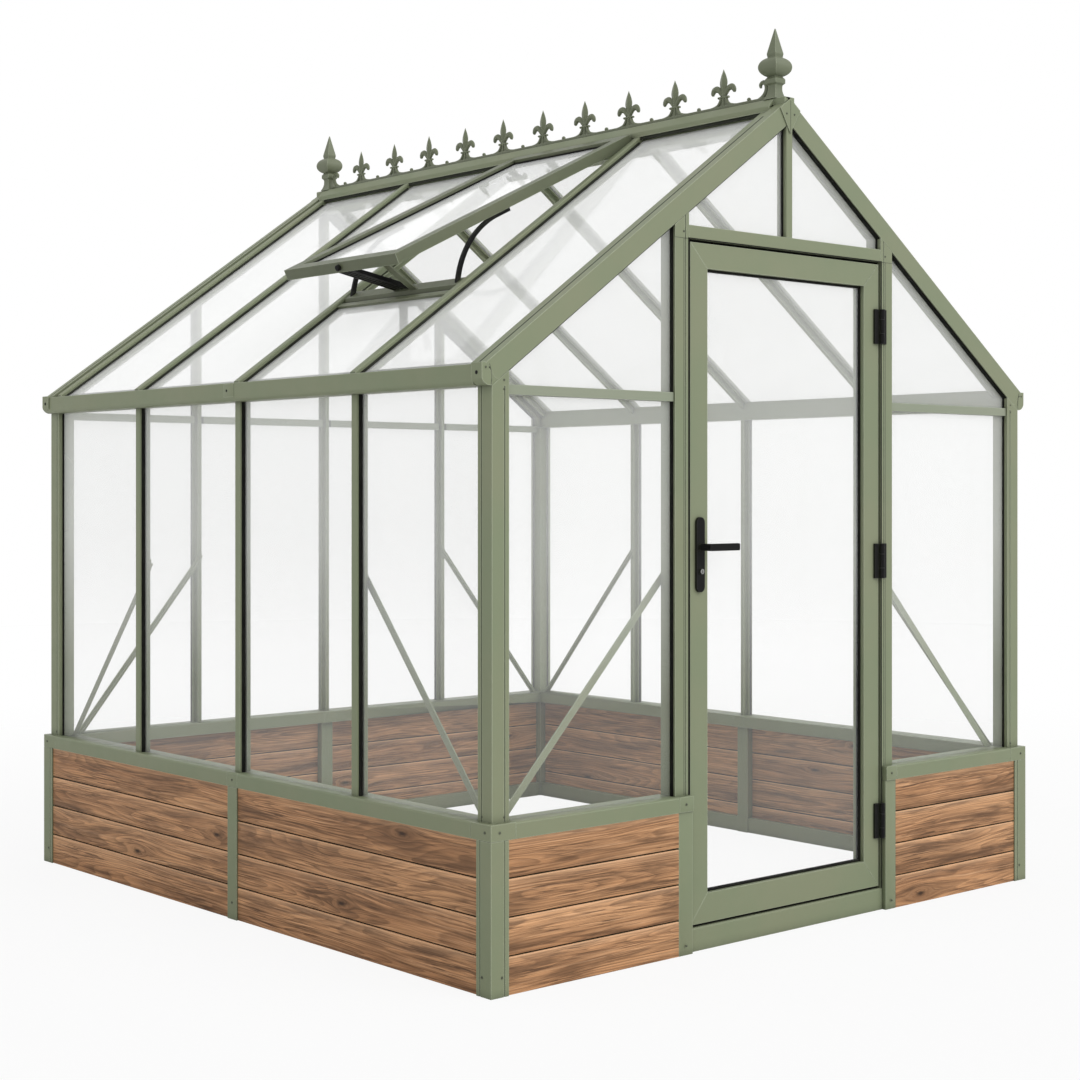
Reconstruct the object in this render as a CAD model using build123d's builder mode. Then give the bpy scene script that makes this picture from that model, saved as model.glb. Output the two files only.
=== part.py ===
from build123d import *
import os
from math import cos, radians, sin, tan

# A dwarf-wall greenhouse: an extruded metal frame with glass panes on a plank-clad base.
# X runs across the gable, Y along the ridge (the door is in the -Y gable), Z is up.
# The origin is on the ground, under the middle of the plan. All lengths are in millimetres.

# Base
base_width = 2500.0
base_length = 2640.0
base_height = 478.0
base_post = 65.0
base_mid_post = 55.0
base_rail_height = 47.0
base_rail_width = 90.0
base_rail_joint = 60.0
base_rail_bevel = 4.0
panel_thickness = 30.0
panel_recess = 5.0
plank_count = 4
plank_groove_width = 7.0
plank_groove_depth = 4.0
bottom_rail_height = 60.0
bottom_rail_depth = 26.0

# Upper frame and its glazing bars
frame_inset = 20.0
corner_post = 62.0
post_groove_width = 4.0
post_groove_depth = 3.0
post_groove_setback = 16.0
cap_width = 30.0
cap_depth = 20.0
cap_bevel = 3.0
web_width = 10.0
flange_width = 42.0
flange_depth = 5.0
stem_width = 16.0
stem_depth = 18.0
glass_thickness = 4.0
glass_clearance = 0.3
side_bays = 4
back_bays = 4

# Roof
roof_pitch = 35.5
rafter_depth = 64.0
rafter_overhang = 20.0
rafter_toe_radius = 16.0
rafter_proud = 6.0
end_bar_gap = 2.0
eaves_beam_width = 44.0
gutter_width = 32.0
gutter_wall = 4.0
gutter_height = 60.0
gutter_round = 14.0
roof_overhang = 4.0
bracket_thickness = 6.0
bracket_height = 64.0
bracket_round = 30.0
ridge_beam_width = 56.0
ridge_beam_height = 92.0
ridge_cap_width = 92.0
ridge_cap_top_width = 46.0
ridge_cap_edge = 17.0
ridge_cap_rise = 5.0
apex_plate_width = 96.0
apex_plate_height = 112.0
apex_plate_thickness = 4.0

# Gable transoms and the door set
transom_height = 28.0
transom_depth = 38.0
transom_rise = 5.6
door_width = 894.0
door_height = 2070.0
door_bottom = 80.0
door_gap = 8.0
door_thickness = 45.0
door_recess = 4.0
door_stile = 75.0
door_top_rail = 77.0
door_bottom_rail = 90.0
door_post = 60.0
door_head_height = 42.0
door_head_clearance = 39.2

# Hinges and lever handle
hinge_heights = (299.0, 1163.0, 1942.0)
hinge_length = 115.0
hinge_leaf_width = 20.0
hinge_leaf_thickness = 4.0
hinge_knuckle_radius = 9.0
hinge_pin_radius = 4.0
hinge_running_gap = 0.05
hinge_end_gap = 0.5
hinge_barrel_shares = (0.30, 0.70)
lever_height = 1225.0
plate_width = 34.0
plate_height = 228.0
plate_thickness = 9.0
plate_below_lever = 137.0
spindle_radius = 6.0
spindle_gap = 0.05
lever_hub_radius = 11.0
lever_hub_gap = 0.4
lever_standoff = 48.0
lever_length = 130.0
lever_thickness = 12.0
cylinder_height = 1151.0
cylinder_radius = 9.0
cylinder_length = 6.0

# Wall braces
brace_width = 24.0
brace_thickness = 4.0
brace_rib_width = 4.0
brace_rib_depth = 10.0
brace_rise = 650.0
brace_foot_gap = 30.0

# Roof vent, propped open
vent_length = 1130.0
vent_lap = 174.0
vent_opening = 9.5
vent_rail = 45.0
vent_depth = 36.0
vent_side_gap = 4.0
vent_bead_radius = 6.0
vent_bead_setback = 10.0
vent_tongue_length = 16.0
vent_tongue_thickness = 4.0
vent_seat_gap = 0.3
vent_bay = 1
vent_sill_width = 44.0
vent_sill_depth = 24.0
vent_sill_upstand = 16.0
opener_tube_radius = 14.0
opener_tube_length = 130.0
opener_arm_width = 8.0
opener_arm_depth = 22.0
opener_arm_spread = 36.0
stay_width = 10.0
stay_depth = 14.0
stay_pad_length = 60.0
stay_head_share = 0.6
knob_radius = 10.0
knob_length = 12.0

# Ridge cresting and finials
fleur_count = 10
fleur_height = 128.0
fleur_half_width = 52.0
fleur_foot_shares = ((1.08, 0), (0.36, 0.02), (0.32, 0.26))
fleur_band_shares = (0.84, 0.05)
fleur_leaf_shares = ((0.2, 0.26), (0.215, 0.45), (0.31, 0.66), (0.2, 0.84), (0, 1))
fleur_petal_shares = (
    (0.18, 0.41),
    (0.38, 0.66),
    (1.03, 0.64),
    (1, 0.45),
    (0.97, 0.385),
    (0.85, 0.36),
    (0.64, 0.56),
    (0.2, 0.31),
)
crest_strip_height = 14.0
crest_thickness = 10.0
crest_end_gap = 0.3
bead_radius = 7.0
scroll_foot = 70.0
scroll_crown = 14.0
scroll_tip_out = 24.0
scroll_tip_drop = 26.0
scroll_waist = 12.0
finial_height = 228.0
finial_width = 78.0
finial_setback = 62.0
finial_pedestal_share = 0.35
finial_neck_share = 0.22
finial_collar_share = 0.30
finial_tip_share = 0.02
finial_collar_shares = (0.20, 0.225, 0.285, 0.32)
finial_bulb_shares = (0.455, 0.59)
finial_ring_shares = (0.63, 0.65)
finial_ring_share = 0.245

# A margin that every cut runs past the solid it cuts
overrun = 10.0

# Lines that the pieces share
half_width = base_width / 2
half_length = base_length / 2
frame_x = half_width - frame_inset
frame_y = half_length - frame_inset
slope = radians(roof_pitch)
bar_depth = cap_depth + glass_thickness + flange_depth + stem_depth
base_rail_bottom = base_height - base_rail_height
rafter_back = frame_y - bar_depth
post_inner_x = frame_x - corner_post
post_inner_y = frame_y - corner_post
side_pitch = 2 * frame_y / side_bays
back_pitch = 2 * frame_x / back_bays
side_bar_places = [side_pitch * number - frame_y for number in range(1, side_bays)]
back_bar_places = [back_pitch * number - frame_x for number in range(1, back_bays)]
end_bar_y = rafter_back - end_bar_gap - flange_width / 2
door_opening_half = door_width / 2 + door_gap
door_post_outer = door_opening_half + door_post
door_top = door_bottom + door_height
door_head_bottom = door_top + door_gap
door_head_top = door_head_bottom + door_head_height
rafter_plumb = rafter_depth / cos(slope)
eaves_over_door = (frame_x - door_opening_half) * tan(slope)
eaves_height = door_head_top + door_head_clearance + rafter_plumb - eaves_over_door
door_face_y = frame_y - door_recess
door_back_y = door_face_y - door_thickness
glass_drop = rafter_proud + cap_depth
pane_drop = glass_drop + glass_thickness
bar_drop = rafter_proud + bar_depth


def roof_z(x, drop):
    """Height, at distance x from the ridge line, of the plane lying drop below the rafter tops."""
    return eaves_height + (frame_x - abs(x)) * tan(slope) - drop / cos(slope)


plate_bottom = roof_z(frame_x, rafter_depth)
ridge_top = roof_z(0, 0)
cap_top = ridge_top + ridge_cap_rise

os.makedirs("parts", exist_ok=True)


def save(piece, name):
    """Label a finished piece and write it as its own file."""
    piece.part.label = name
    export_step(piece.part, f"parts/{name}.step")


def bar_section():
    """Section of a glazing bar: v = 0 is the outer face of the glass, +v points outwards."""
    with BuildSketch() as section:
        with Locations((0, cap_depth / 2)):
            Rectangle(cap_width, cap_depth)
        chamfer(section.vertices().group_by(Axis.Y)[-1], cap_bevel)
        with Locations((0, -glass_thickness / 2)):
            Rectangle(web_width, glass_thickness)
        with Locations((0, -glass_thickness - flange_depth / 2)):
            Rectangle(flange_width, flange_depth)
        with Locations((0, -glass_thickness - flange_depth - stem_depth / 2)):
            Rectangle(stem_width, stem_depth)
    return section.sketch


def post_section(side):
    """Section of a square post, its outer corner at the origin, with a groove in each outer face."""
    with BuildSketch() as section:
        Rectangle(side, side, align=(Align.MIN, Align.MIN))
        with Locations((side - post_groove_setback, 0)):
            Rectangle(post_groove_width, 2 * post_groove_depth, mode=Mode.SUBTRACT)
        with Locations((0, side - post_groove_setback)):
            Rectangle(2 * post_groove_depth, post_groove_width, mode=Mode.SUBTRACT)
    return section.sketch


def plank_section():
    """Section of a base panel, outer face on the v axis, with grooves between its planks."""
    plank = base_rail_bottom / plank_count
    with BuildSketch() as section:
        Rectangle(panel_thickness, base_rail_bottom, align=(Align.MIN, Align.MIN))
        with Locations([(0, plank * number) for number in range(1, plank_count)]):
            Rectangle(2 * plank_groove_depth, plank_groove_width, mode=Mode.SUBTRACT)
    return section.sketch


def rail_section():
    """Section of the base top rail, outer face on the v axis, top at v = 0."""
    with BuildSketch() as section:
        Rectangle(base_rail_width, base_rail_height, align=(Align.MIN, Align.MAX))
        corner = section.vertices().group_by(Axis.Y)[-1].sort_by(Axis.X)[0]
        chamfer(corner, base_rail_bevel)
    return section.sketch


# Planes whose section runs inwards (u) and up (v); extrusions follow the wall
left_wall_section = Plane(origin=(-half_width, 0, 0), x_dir=(1, 0, 0), z_dir=(0, -1, 0))
front_wall_section = Plane(origin=(0, -half_length, 0), x_dir=(0, 1, 0), z_dir=(1, 0, 0))

# Base posts: a grooved one at each corner, a plain one in the middle of each long side and of the back
with BuildPart() as base_posts:
    with BuildSketch():
        with Locations((-half_width, -half_length)):
            add(post_section(base_post))
    extrude(amount=base_rail_bottom)
    mirror(about=Plane.XZ)
    mirror(about=Plane.YZ)
    with BuildSketch():
        with Locations((-half_width, 0)):
            Rectangle(base_post, base_mid_post, align=(Align.MIN, Align.CENTER))
        with Locations((half_width, 0)):
            Rectangle(base_post, base_mid_post, align=(Align.MAX, Align.CENTER))
        with Locations((0, half_length)):
            Rectangle(base_mid_post, base_post, align=(Align.CENTER, Align.MAX))
    extrude(amount=base_rail_bottom)
save(base_posts, "base_posts")

# Base panels: grooved plank cladding between the posts
side_panel_span = half_length - base_post - base_mid_post / 2
back_panel_span = half_width - base_post - base_mid_post / 2
front_panel_span = half_width - base_post - door_post_outer
with BuildPart() as side_base_panels:
    with BuildSketch(left_wall_section.offset(base_mid_post / 2)):
        with Locations((panel_recess, 0)):
            add(plank_section())
    extrude(amount=side_panel_span)
    mirror(about=Plane.XZ)
    mirror(about=Plane.YZ)
save(side_base_panels, "side_base_panels")

with BuildPart() as gable_base_panels:
    with BuildSketch(front_wall_section.offset(door_post_outer)):
        with Locations((panel_recess, 0)):
            add(plank_section())
    extrude(amount=front_panel_span)
    with BuildSketch(front_wall_section.offset(base_mid_post / 2)):
        with Locations((panel_recess, 0)):
            add(plank_section())
    panel_run = extrude(amount=back_panel_span, mode=Mode.PRIVATE)
    mirror(panel_run, about=Plane.XZ)
    mirror(about=Plane.YZ)
save(gable_base_panels, "gable_base_panels")

# Bottom rails: box sections on the ground behind the panels
bottom_rail_in = panel_recess + panel_thickness
with BuildPart() as base_bottom_rails:
    with BuildSketch(left_wall_section.offset(base_mid_post / 2)):
        with Locations((bottom_rail_in, 0)):
            Rectangle(bottom_rail_depth, bottom_rail_height, align=(Align.MIN, Align.MIN))
    extrude(amount=side_panel_span)
    mirror(about=Plane.XZ)
    with BuildSketch(front_wall_section.offset(door_post_outer)):
        with Locations((bottom_rail_in, 0)):
            Rectangle(bottom_rail_depth, bottom_rail_height, align=(Align.MIN, Align.MIN))
    extrude(amount=front_panel_span)
    with BuildSketch(front_wall_section.offset(base_mid_post / 2)):
        with Locations((bottom_rail_in, 0)):
            Rectangle(bottom_rail_depth, bottom_rail_height, align=(Align.MIN, Align.MIN))
    back_run = extrude(amount=back_panel_span, mode=Mode.PRIVATE)
    mirror(back_run, about=Plane.XZ)
    mirror(about=Plane.YZ)
save(base_bottom_rails, "base_bottom_rails")

# Base top rails: bevelled rails between the corner blocks, joint blocks and door posts
rail_top = base_height
side_rail_span = half_length - base_rail_width - base_rail_joint / 2
back_rail_span = half_width - base_rail_width - base_rail_joint / 2
front_rail_span = half_width - base_rail_width - door_post_outer
with BuildPart() as base_top_rails:
    with BuildSketch(left_wall_section.offset(base_rail_joint / 2)):
        with Locations((0, rail_top)):
            add(rail_section())
    extrude(amount=side_rail_span)
    mirror(about=Plane.XZ)
    with BuildSketch(front_wall_section.offset(door_post_outer)):
        with Locations((0, rail_top)):
            add(rail_section())
    extrude(amount=front_rail_span)
    with BuildSketch(front_wall_section.offset(base_rail_joint / 2)):
        with Locations((0, rail_top)):
            add(rail_section())
    back_rail = extrude(amount=back_rail_span, mode=Mode.PRIVATE)
    mirror(back_rail, about=Plane.XZ)
    mirror(about=Plane.YZ)
save(base_top_rails, "base_top_rails")

# Rail joints: square corner blocks and the straight joiners over the mid posts
with BuildPart() as base_rail_joints:
    with BuildSketch(Plane.XY.offset(base_rail_bottom)):
        with Locations((-half_width, -half_length)):
            Rectangle(base_rail_width, base_rail_width, align=(Align.MIN, Align.MIN))
        mirror(about=Plane.XZ)
        mirror(about=Plane.YZ)
    extrude(amount=base_rail_height)
    with BuildSketch(left_wall_section.offset(-base_rail_joint / 2)):
        with Locations((0, rail_top)):
            add(rail_section())
    joiner = extrude(amount=base_rail_joint)
    mirror(joiner, about=Plane.YZ)
    with BuildSketch(front_wall_section.offset(-base_rail_joint / 2)):
        with Locations((0, rail_top)):
            add(rail_section())
    back_joiner = extrude(amount=base_rail_joint, mode=Mode.PRIVATE)
    mirror(back_joiner, about=Plane.XZ)
save(base_rail_joints, "base_rail_joints")

# Corner posts: grooved square extrusions with a wedge head that fills up to the rafter
with BuildPart() as corner_posts:
    with BuildSketch(Plane.XY.offset(base_height)):
        with Locations((-frame_x, -frame_y)):
            add(post_section(corner_post))
    extrude(amount=plate_bottom - base_height)
    with BuildSketch(Plane.XZ.offset(rafter_back)):
        Polygon(
            (-frame_x, plate_bottom),
            (-post_inner_x, plate_bottom),
            (-post_inner_x, roof_z(post_inner_x, rafter_depth)),
            align=None,
        )
    extrude(amount=bar_depth)
    mirror(about=Plane.XZ)
    mirror(about=Plane.YZ)
save(corner_posts, "corner_posts")

# Side wall glazing bars, from the base rail to the eaves beam
with BuildPart() as wall_bars:
    with BuildSketch(Plane.XY.offset(base_height)):
        with Locations([(cap_depth - frame_x, place) for place in side_bar_places]):
            add(bar_section(), rotation=90)
    extrude(amount=plate_bottom - base_height)
    mirror(about=Plane.YZ)
save(wall_bars, "wall_bars")

# The space under the gable rafters, which trims everything that rises to them
with BuildPart() as under_rafters:
    with BuildSketch(Plane.XZ):
        Polygon(
            (-frame_x, 0),
            (frame_x, 0),
            (frame_x, roof_z(frame_x, rafter_depth)),
            (0, roof_z(0, rafter_depth)),
            (-frame_x, roof_z(frame_x, rafter_depth)),
            align=None,
        )
    extrude(amount=base_length, both=True)

# Back gable bars, trimmed to the rafters
with BuildPart() as back_gable_bars:
    with BuildSketch(Plane.XY.offset(base_height)):
        with Locations([(place, frame_y - cap_depth) for place in back_bar_places]):
            add(bar_section())
    extrude(amount=ridge_top - base_height)
    add(under_rafters.part, mode=Mode.INTERSECT)
save(back_gable_bars, "back_gable_bars")

# King post over the door, from the door head to the apex
with BuildPart() as king_post:
    with BuildSketch(Plane.XY.offset(door_head_top)):
        with Locations((0, cap_depth - frame_y)):
            add(bar_section(), rotation=180)
    extrude(amount=ridge_top - door_head_top)
    add(under_rafters.part, mode=Mode.INTERSECT)
save(king_post, "king_post")

# Door posts: from the ground to the rafters, with a groove in the front face
with BuildPart() as door_posts:
    with BuildSketch():
        with Locations((-door_post_outer, -frame_y)):
            Rectangle(door_post, corner_post, align=(Align.MIN, Align.MIN))
        with Locations((-door_opening_half - post_groove_setback, -frame_y)):
            Rectangle(post_groove_width, 2 * post_groove_depth, mode=Mode.SUBTRACT)
    extrude(amount=ridge_top)
    add(under_rafters.part, mode=Mode.INTERSECT)
    mirror(about=Plane.YZ)
save(door_posts, "door_posts")

# Door head and sill between the door posts
with BuildPart() as door_head:
    with BuildSketch(Plane.XY.offset(door_head_bottom)):
        with Locations((0, -frame_y)):
            Rectangle(2 * door_opening_half, corner_post, align=(Align.CENTER, Align.MIN))
    extrude(amount=door_head_height)
save(door_head, "door_head")

with BuildPart() as door_sill:
    with BuildSketch():
        with Locations((0, -frame_y)):
            Rectangle(2 * door_opening_half, corner_post, align=(Align.CENTER, Align.MIN))
    extrude(amount=door_bottom - door_gap)
    chamfer(door_sill.edges().filter_by(Axis.X).group_by(Axis.Z)[-1].sort_by(Axis.Y)[0], base_rail_bevel)
save(door_sill, "door_sill")

# Transoms at eaves level: two beside the door, one in each bay of the back gable
transom_top = plate_bottom + transom_rise
transom_bottom = transom_top - transom_height
back_stops = [-post_inner_x - flange_width / 2, *back_bar_places, post_inner_x + flange_width / 2]
with BuildPart() as transoms:
    with BuildSketch(Plane.XY.offset(transom_bottom)):
        with Locations((-post_inner_x, rafter_proud - frame_y)):
            Rectangle(post_inner_x - door_post_outer, transom_depth, align=(Align.MIN, Align.MIN))
        mirror(about=Plane.YZ)
        for start, end in zip(back_stops, back_stops[1:]):
            with Locations(((start + end) / 2, frame_y - rafter_proud)):
                Rectangle(end - start - flange_width, transom_depth, align=(Align.CENTER, Align.MAX))
    extrude(amount=transom_height)
save(transoms, "transoms")

# Gable rafters: wide flat boards cut square at the foot and mitred at the ridge
foot_x = frame_x + rafter_overhang
foot_low_x = foot_x - rafter_depth * sin(slope)
with BuildPart() as left_rafters:
    with BuildSketch(Plane.XZ.offset(rafter_back)) as rafter_outline:
        Polygon(
            (0, ridge_top),
            (-foot_x, roof_z(foot_x, 0)),
            (-foot_low_x, roof_z(foot_low_x, rafter_depth)),
            (0, roof_z(0, rafter_depth)),
            align=None,
        )
        toe = rafter_outline.vertices().group_by(Axis.Y)[0]
        fillet(toe, rafter_toe_radius)
    extrude(amount=bar_depth)
    mirror(about=Plane.XZ)
save(left_rafters, "left_rafters")

with BuildPart() as right_rafters:
    mirror(left_rafters.part, about=Plane.YZ)
save(right_rafters, "right_rafters")

# Apex plates: pointed cover plates over the rafter mitres, front and back
with BuildPart() as apex_plates:
    with BuildSketch(Plane.XZ.offset(frame_y)):
        half_plate = apex_plate_width / 2
        Polygon(
            (0, ridge_top),
            (-half_plate, roof_z(half_plate, 0)),
            (0, ridge_top - apex_plate_height),
            (half_plate, roof_z(half_plate, 0)),
            align=None,
        )
    extrude(amount=apex_plate_thickness)
    mirror(about=Plane.XZ)
save(apex_plates, "apex_plates")

# Eaves beams: wall plates whose top follows the underside of the roof glass
beam_inner = frame_x - eaves_beam_width
with BuildPart() as eaves_beams:
    with BuildSketch(Plane.XZ):
        Polygon(
            (-frame_x, plate_bottom),
            (-beam_inner, plate_bottom),
            (-beam_inner, roof_z(beam_inner, pane_drop)),
            (-frame_x, roof_z(frame_x, pane_drop)),
            align=None,
        )
    extrude(amount=rafter_back, both=True)
    mirror(about=Plane.YZ)
save(eaves_beams, "eaves_beams")

# Gutters: open troughs with a rounded front edge, hung on the eaves beams
gutter_outer = frame_x + gutter_width
round_centre = (gutter_round - gutter_outer, plate_bottom + gutter_round)
with BuildPart() as gutters:
    with BuildSketch(Plane.XZ):
        with BuildLine():
            Polyline(
                (gutter_round - gutter_outer, plate_bottom),
                (-frame_x, plate_bottom),
                (-frame_x, plate_bottom + gutter_wall),
                (gutter_round - gutter_outer, plate_bottom + gutter_wall),
            )
            CenterArc(round_centre, gutter_round - gutter_wall, 180, 90)
            Polyline(
                (gutter_wall - gutter_outer, plate_bottom + gutter_round),
                (gutter_wall - gutter_outer, plate_bottom + gutter_height),
                (-gutter_outer, plate_bottom + gutter_height),
                (-gutter_outer, plate_bottom + gutter_round),
            )
            CenterArc(round_centre, gutter_round, 180, 90)
        make_face()
    extrude(amount=rafter_back, both=True)
    mirror(about=Plane.YZ)
save(gutters, "gutters")

# Gutter brackets: end blocks that close the troughs and cover the rafter feet
bracket_outer = gutter_outer + bracket_thickness
with BuildPart() as gutter_brackets:
    with BuildSketch(Plane.XZ.offset(rafter_back)) as block:
        with Locations((-frame_x, plate_bottom)):
            Rectangle(bracket_outer - frame_x, bracket_height, align=(Align.MAX, Align.MIN))
        toe = block.vertices().group_by(Axis.Y)[0].sort_by(Axis.X)[0]
        fillet(toe, bracket_round)
    extrude(amount=bar_depth)
    add(left_rafters.part, mode=Mode.SUBTRACT)
    mirror(about=Plane.XZ)
    mirror(about=Plane.YZ)
save(gutter_brackets, "gutter_brackets")

# Ridge beam: the box that the roof bars meet, with a bevelled cap over their ends
half_beam = ridge_beam_width / 2
half_cap = ridge_cap_width / 2
half_cap_top = ridge_cap_top_width / 2
cap_edge_bottom = roof_z(half_cap, rafter_proud)
with BuildPart() as ridge_beam:
    with BuildSketch(Plane.XZ):
        Polygon(
            (-half_beam, ridge_top - ridge_beam_height),
            (half_beam, ridge_top - ridge_beam_height),
            (half_beam, roof_z(half_beam, rafter_proud)),
            (0, roof_z(0, rafter_proud)),
            (-half_beam, roof_z(half_beam, rafter_proud)),
            align=None,
        )
    extrude(amount=rafter_back, both=True)
save(ridge_beam, "ridge_beam")

with BuildPart() as ridge_cap:
    with BuildSketch(Plane.XZ):
        Polygon(
            (-half_cap, cap_edge_bottom),
            (-half_cap, cap_edge_bottom + ridge_cap_edge),
            (-half_cap_top, cap_top),
            (half_cap_top, cap_top),
            (half_cap, cap_edge_bottom + ridge_cap_edge),
            (half_cap, cap_edge_bottom),
            (0, roof_z(0, rafter_proud)),
            align=None,
        )
    extrude(amount=rafter_back, both=True)
    with BuildSketch(Plane.XZ):
        Polygon(
            (-half_cap_top, roof_z(half_cap_top, 0)),
            (-half_cap_top, cap_top),
            (half_cap_top, cap_top),
            (half_cap_top, roof_z(half_cap_top, 0)),
            (0, ridge_top),
            align=None,
        )
    extrude(amount=frame_y, both=True)
save(ridge_cap, "ridge_cap")

# Roof bars: one over each wall bar and one beside each gable rafter
roof_plane_left = Plane(
    origin=(0, 0, roof_z(0, glass_drop)), x_dir=(0, 1, 0), z_dir=(-cos(slope), 0, -sin(slope))
)
slope_length = (frame_x + rafter_overhang) / cos(slope)
roof_foot_x = frame_x + roof_overhang
roof_bar_places = [-end_bar_y, *side_bar_places, end_bar_y]
with BuildPart() as roof_envelope:
    with BuildSketch(Plane.XZ):
        Polygon(
            (-roof_foot_x, roof_z(roof_foot_x, 0)),
            (-half_beam, roof_z(half_beam, 0)),
            (-half_beam, roof_z(half_beam, bar_drop + overrun)),
            (-roof_foot_x, roof_z(roof_foot_x, bar_drop + overrun)),
            align=None,
        )
    extrude(amount=frame_y, both=True)

with BuildPart() as roof_bars:
    with BuildSketch(roof_plane_left):
        with Locations([(place, 0) for place in roof_bar_places]):
            add(bar_section(), rotation=180)
    extrude(amount=slope_length)
    add(roof_envelope.part, mode=Mode.INTERSECT)
    add(eaves_beams.part, mode=Mode.SUBTRACT)
    mirror(about=Plane.YZ)
save(roof_bars, "roof_bars")

# Glass: one pane to a bay, held between the webs of the bars


def bay_spans(stops):
    """Centre and width of the pane between each two neighbouring bars."""
    trim = web_width + 2 * glass_clearance
    return [((start + end) / 2, end - start - trim) for start, end in zip(stops, stops[1:])]


half_web = web_width / 2
side_spans = bay_spans([-post_inner_y - half_web, *side_bar_places, post_inner_y + half_web])
side_pane_height = plate_bottom - base_height - 2 * glass_clearance
with BuildPart() as wall_glass:
    with BuildSketch(Plane.XY.offset(base_height + glass_clearance)):
        for centre, width in side_spans:
            with Locations((cap_depth - frame_x, centre)):
                Rectangle(glass_thickness, width, align=(Align.MIN, Align.CENTER))
    extrude(amount=side_pane_height)
    mirror(about=Plane.YZ)
save(wall_glass, "wall_glass")


def gable_pane(start, end, bottom, top):
    """Pane of a gable from x = start to end; a top of None follows the rafter above."""
    low = bottom + glass_clearance
    if top is None:
        trim = rafter_depth + glass_clearance
        heights = (roof_z(start, trim), roof_z(end, trim))
    else:
        heights = (top - glass_clearance, top - glass_clearance)
    Polygon((start, low), (end, low), (end, heights[1]), (start, heights[0]), align=None)


front_pane_start = glass_clearance - post_inner_x
front_pane_end = -door_post_outer - glass_clearance
lunette_start = glass_clearance - door_opening_half
lunette_end = -half_web - glass_clearance
back_spans = bay_spans([-post_inner_x - half_web, *back_bar_places, post_inner_x + half_web])
with BuildPart() as gable_glass:
    with BuildSketch(Plane.XZ.offset(frame_y - cap_depth - glass_thickness)):
        gable_pane(front_pane_start, front_pane_end, base_height, transom_bottom)
        gable_pane(front_pane_start, front_pane_end, transom_top, None)
        gable_pane(lunette_start, lunette_end, door_head_top, None)
    extrude(amount=glass_thickness)
    mirror(about=Plane.YZ)
    with BuildSketch(Plane.XZ.offset(cap_depth - frame_y)):
        for centre, width in back_spans:
            gable_pane(centre - width / 2, centre + width / 2, base_height, transom_bottom)
            gable_pane(centre - width / 2, centre + width / 2, transom_top, None)
    extrude(amount=glass_thickness)
save(gable_glass, "gable_glass")


def roof_strip(low_x, high_x, top_drop, bottom_drop):
    """Slanted strip of the left slope between two distances from the ridge and two depths."""
    Polygon(
        (-low_x, roof_z(low_x, top_drop)),
        (-high_x, roof_z(high_x, top_drop)),
        (-high_x, roof_z(high_x, bottom_drop)),
        (-low_x, roof_z(low_x, bottom_drop)),
        align=None,
    )


# The closed vent would lie from its hinge bead under the ridge cap, and lap over its sill
vent_hinge_x = half_cap - vent_bead_setback
vent_hinge_drop = rafter_proud + vent_seat_gap + vent_bead_radius
sill_low_x = vent_hinge_x + (vent_length - vent_lap) * cos(slope)
sill_high_x = sill_low_x - vent_sill_width * cos(slope)
roof_spans = bay_spans(roof_bar_places)
roof_pane_high_x = half_beam + glass_clearance
vent_centre_y, vent_bay_width = roof_spans[vent_bay]

with BuildPart() as roof_glass:
    for centre, width in roof_spans:
        with BuildSketch(Plane.XZ.offset(-centre - width / 2)):
            roof_strip(roof_foot_x, roof_pane_high_x, glass_drop, pane_drop)
        extrude(amount=width)
    mirror(about=Plane.YZ, mode=Mode.REPLACE)
    for number, (centre, width) in enumerate(roof_spans):
        pane_high_x = sill_low_x + glass_clearance if number == vent_bay else roof_pane_high_x
        with BuildSketch(Plane.XZ.offset(-centre - width / 2)):
            roof_strip(roof_foot_x, pane_high_x, glass_drop, pane_drop)
        extrude(amount=width)
save(roof_glass, "roof_glass")

# Vent sill: a trimmer between the roof bars, its tongue held like the glass under a raised ledge
sill_body_width = vent_bay_width + web_width - flange_width
sill_ledge_width = vent_bay_width + web_width - cap_width
sill_ledge_drop = glass_drop - vent_sill_upstand
sill_bottom_drop = pane_drop + vent_sill_depth
with BuildPart() as vent_sill:
    with BuildSketch(Plane.XZ.offset(-vent_centre_y - vent_bay_width / 2)):
        roof_strip(sill_low_x, sill_high_x, glass_drop, pane_drop)
    extrude(amount=vent_bay_width)
    with BuildSketch(Plane.XZ.offset(-vent_centre_y - sill_body_width / 2)):
        roof_strip(sill_low_x, sill_high_x, pane_drop, sill_bottom_drop)
    extrude(amount=sill_body_width)
    with BuildSketch(Plane.XZ.offset(-vent_centre_y - sill_ledge_width / 2)):
        roof_strip(sill_low_x, sill_high_x, sill_ledge_drop, glass_drop)
    extrude(amount=sill_ledge_width)
save(vent_sill, "vent_sill")

# Vent frame: mitred box rails turned up about the hinge bead
vent_slope = slope - radians(vent_opening)
vent_plane = Plane(
    origin=(-vent_hinge_x, vent_centre_y, roof_z(vent_hinge_x, vent_hinge_drop)),
    x_dir=(-cos(vent_slope), 0, -sin(vent_slope)),
    z_dir=(-sin(vent_slope), 0, cos(vent_slope)),
)
vent_under = vent_hinge_drop + vent_seat_gap - glass_drop
vent_half = (side_pitch - cap_width) / 2 - vent_side_gap
vent_inner_half = vent_half - vent_rail
vent_inner_top = vent_tongue_length + vent_rail
vent_inner_end = vent_length - vent_rail
with BuildPart() as vent_side_rails:
    with BuildSketch(vent_plane.offset(vent_under)):
        Polygon(
            (vent_tongue_length, vent_half),
            (vent_length, vent_half),
            (vent_inner_end, vent_inner_half),
            (vent_inner_top, vent_inner_half),
            align=None,
        )
        mirror(about=Plane.XZ)
    extrude(amount=vent_depth)
save(vent_side_rails, "vent_side_rails")

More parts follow.
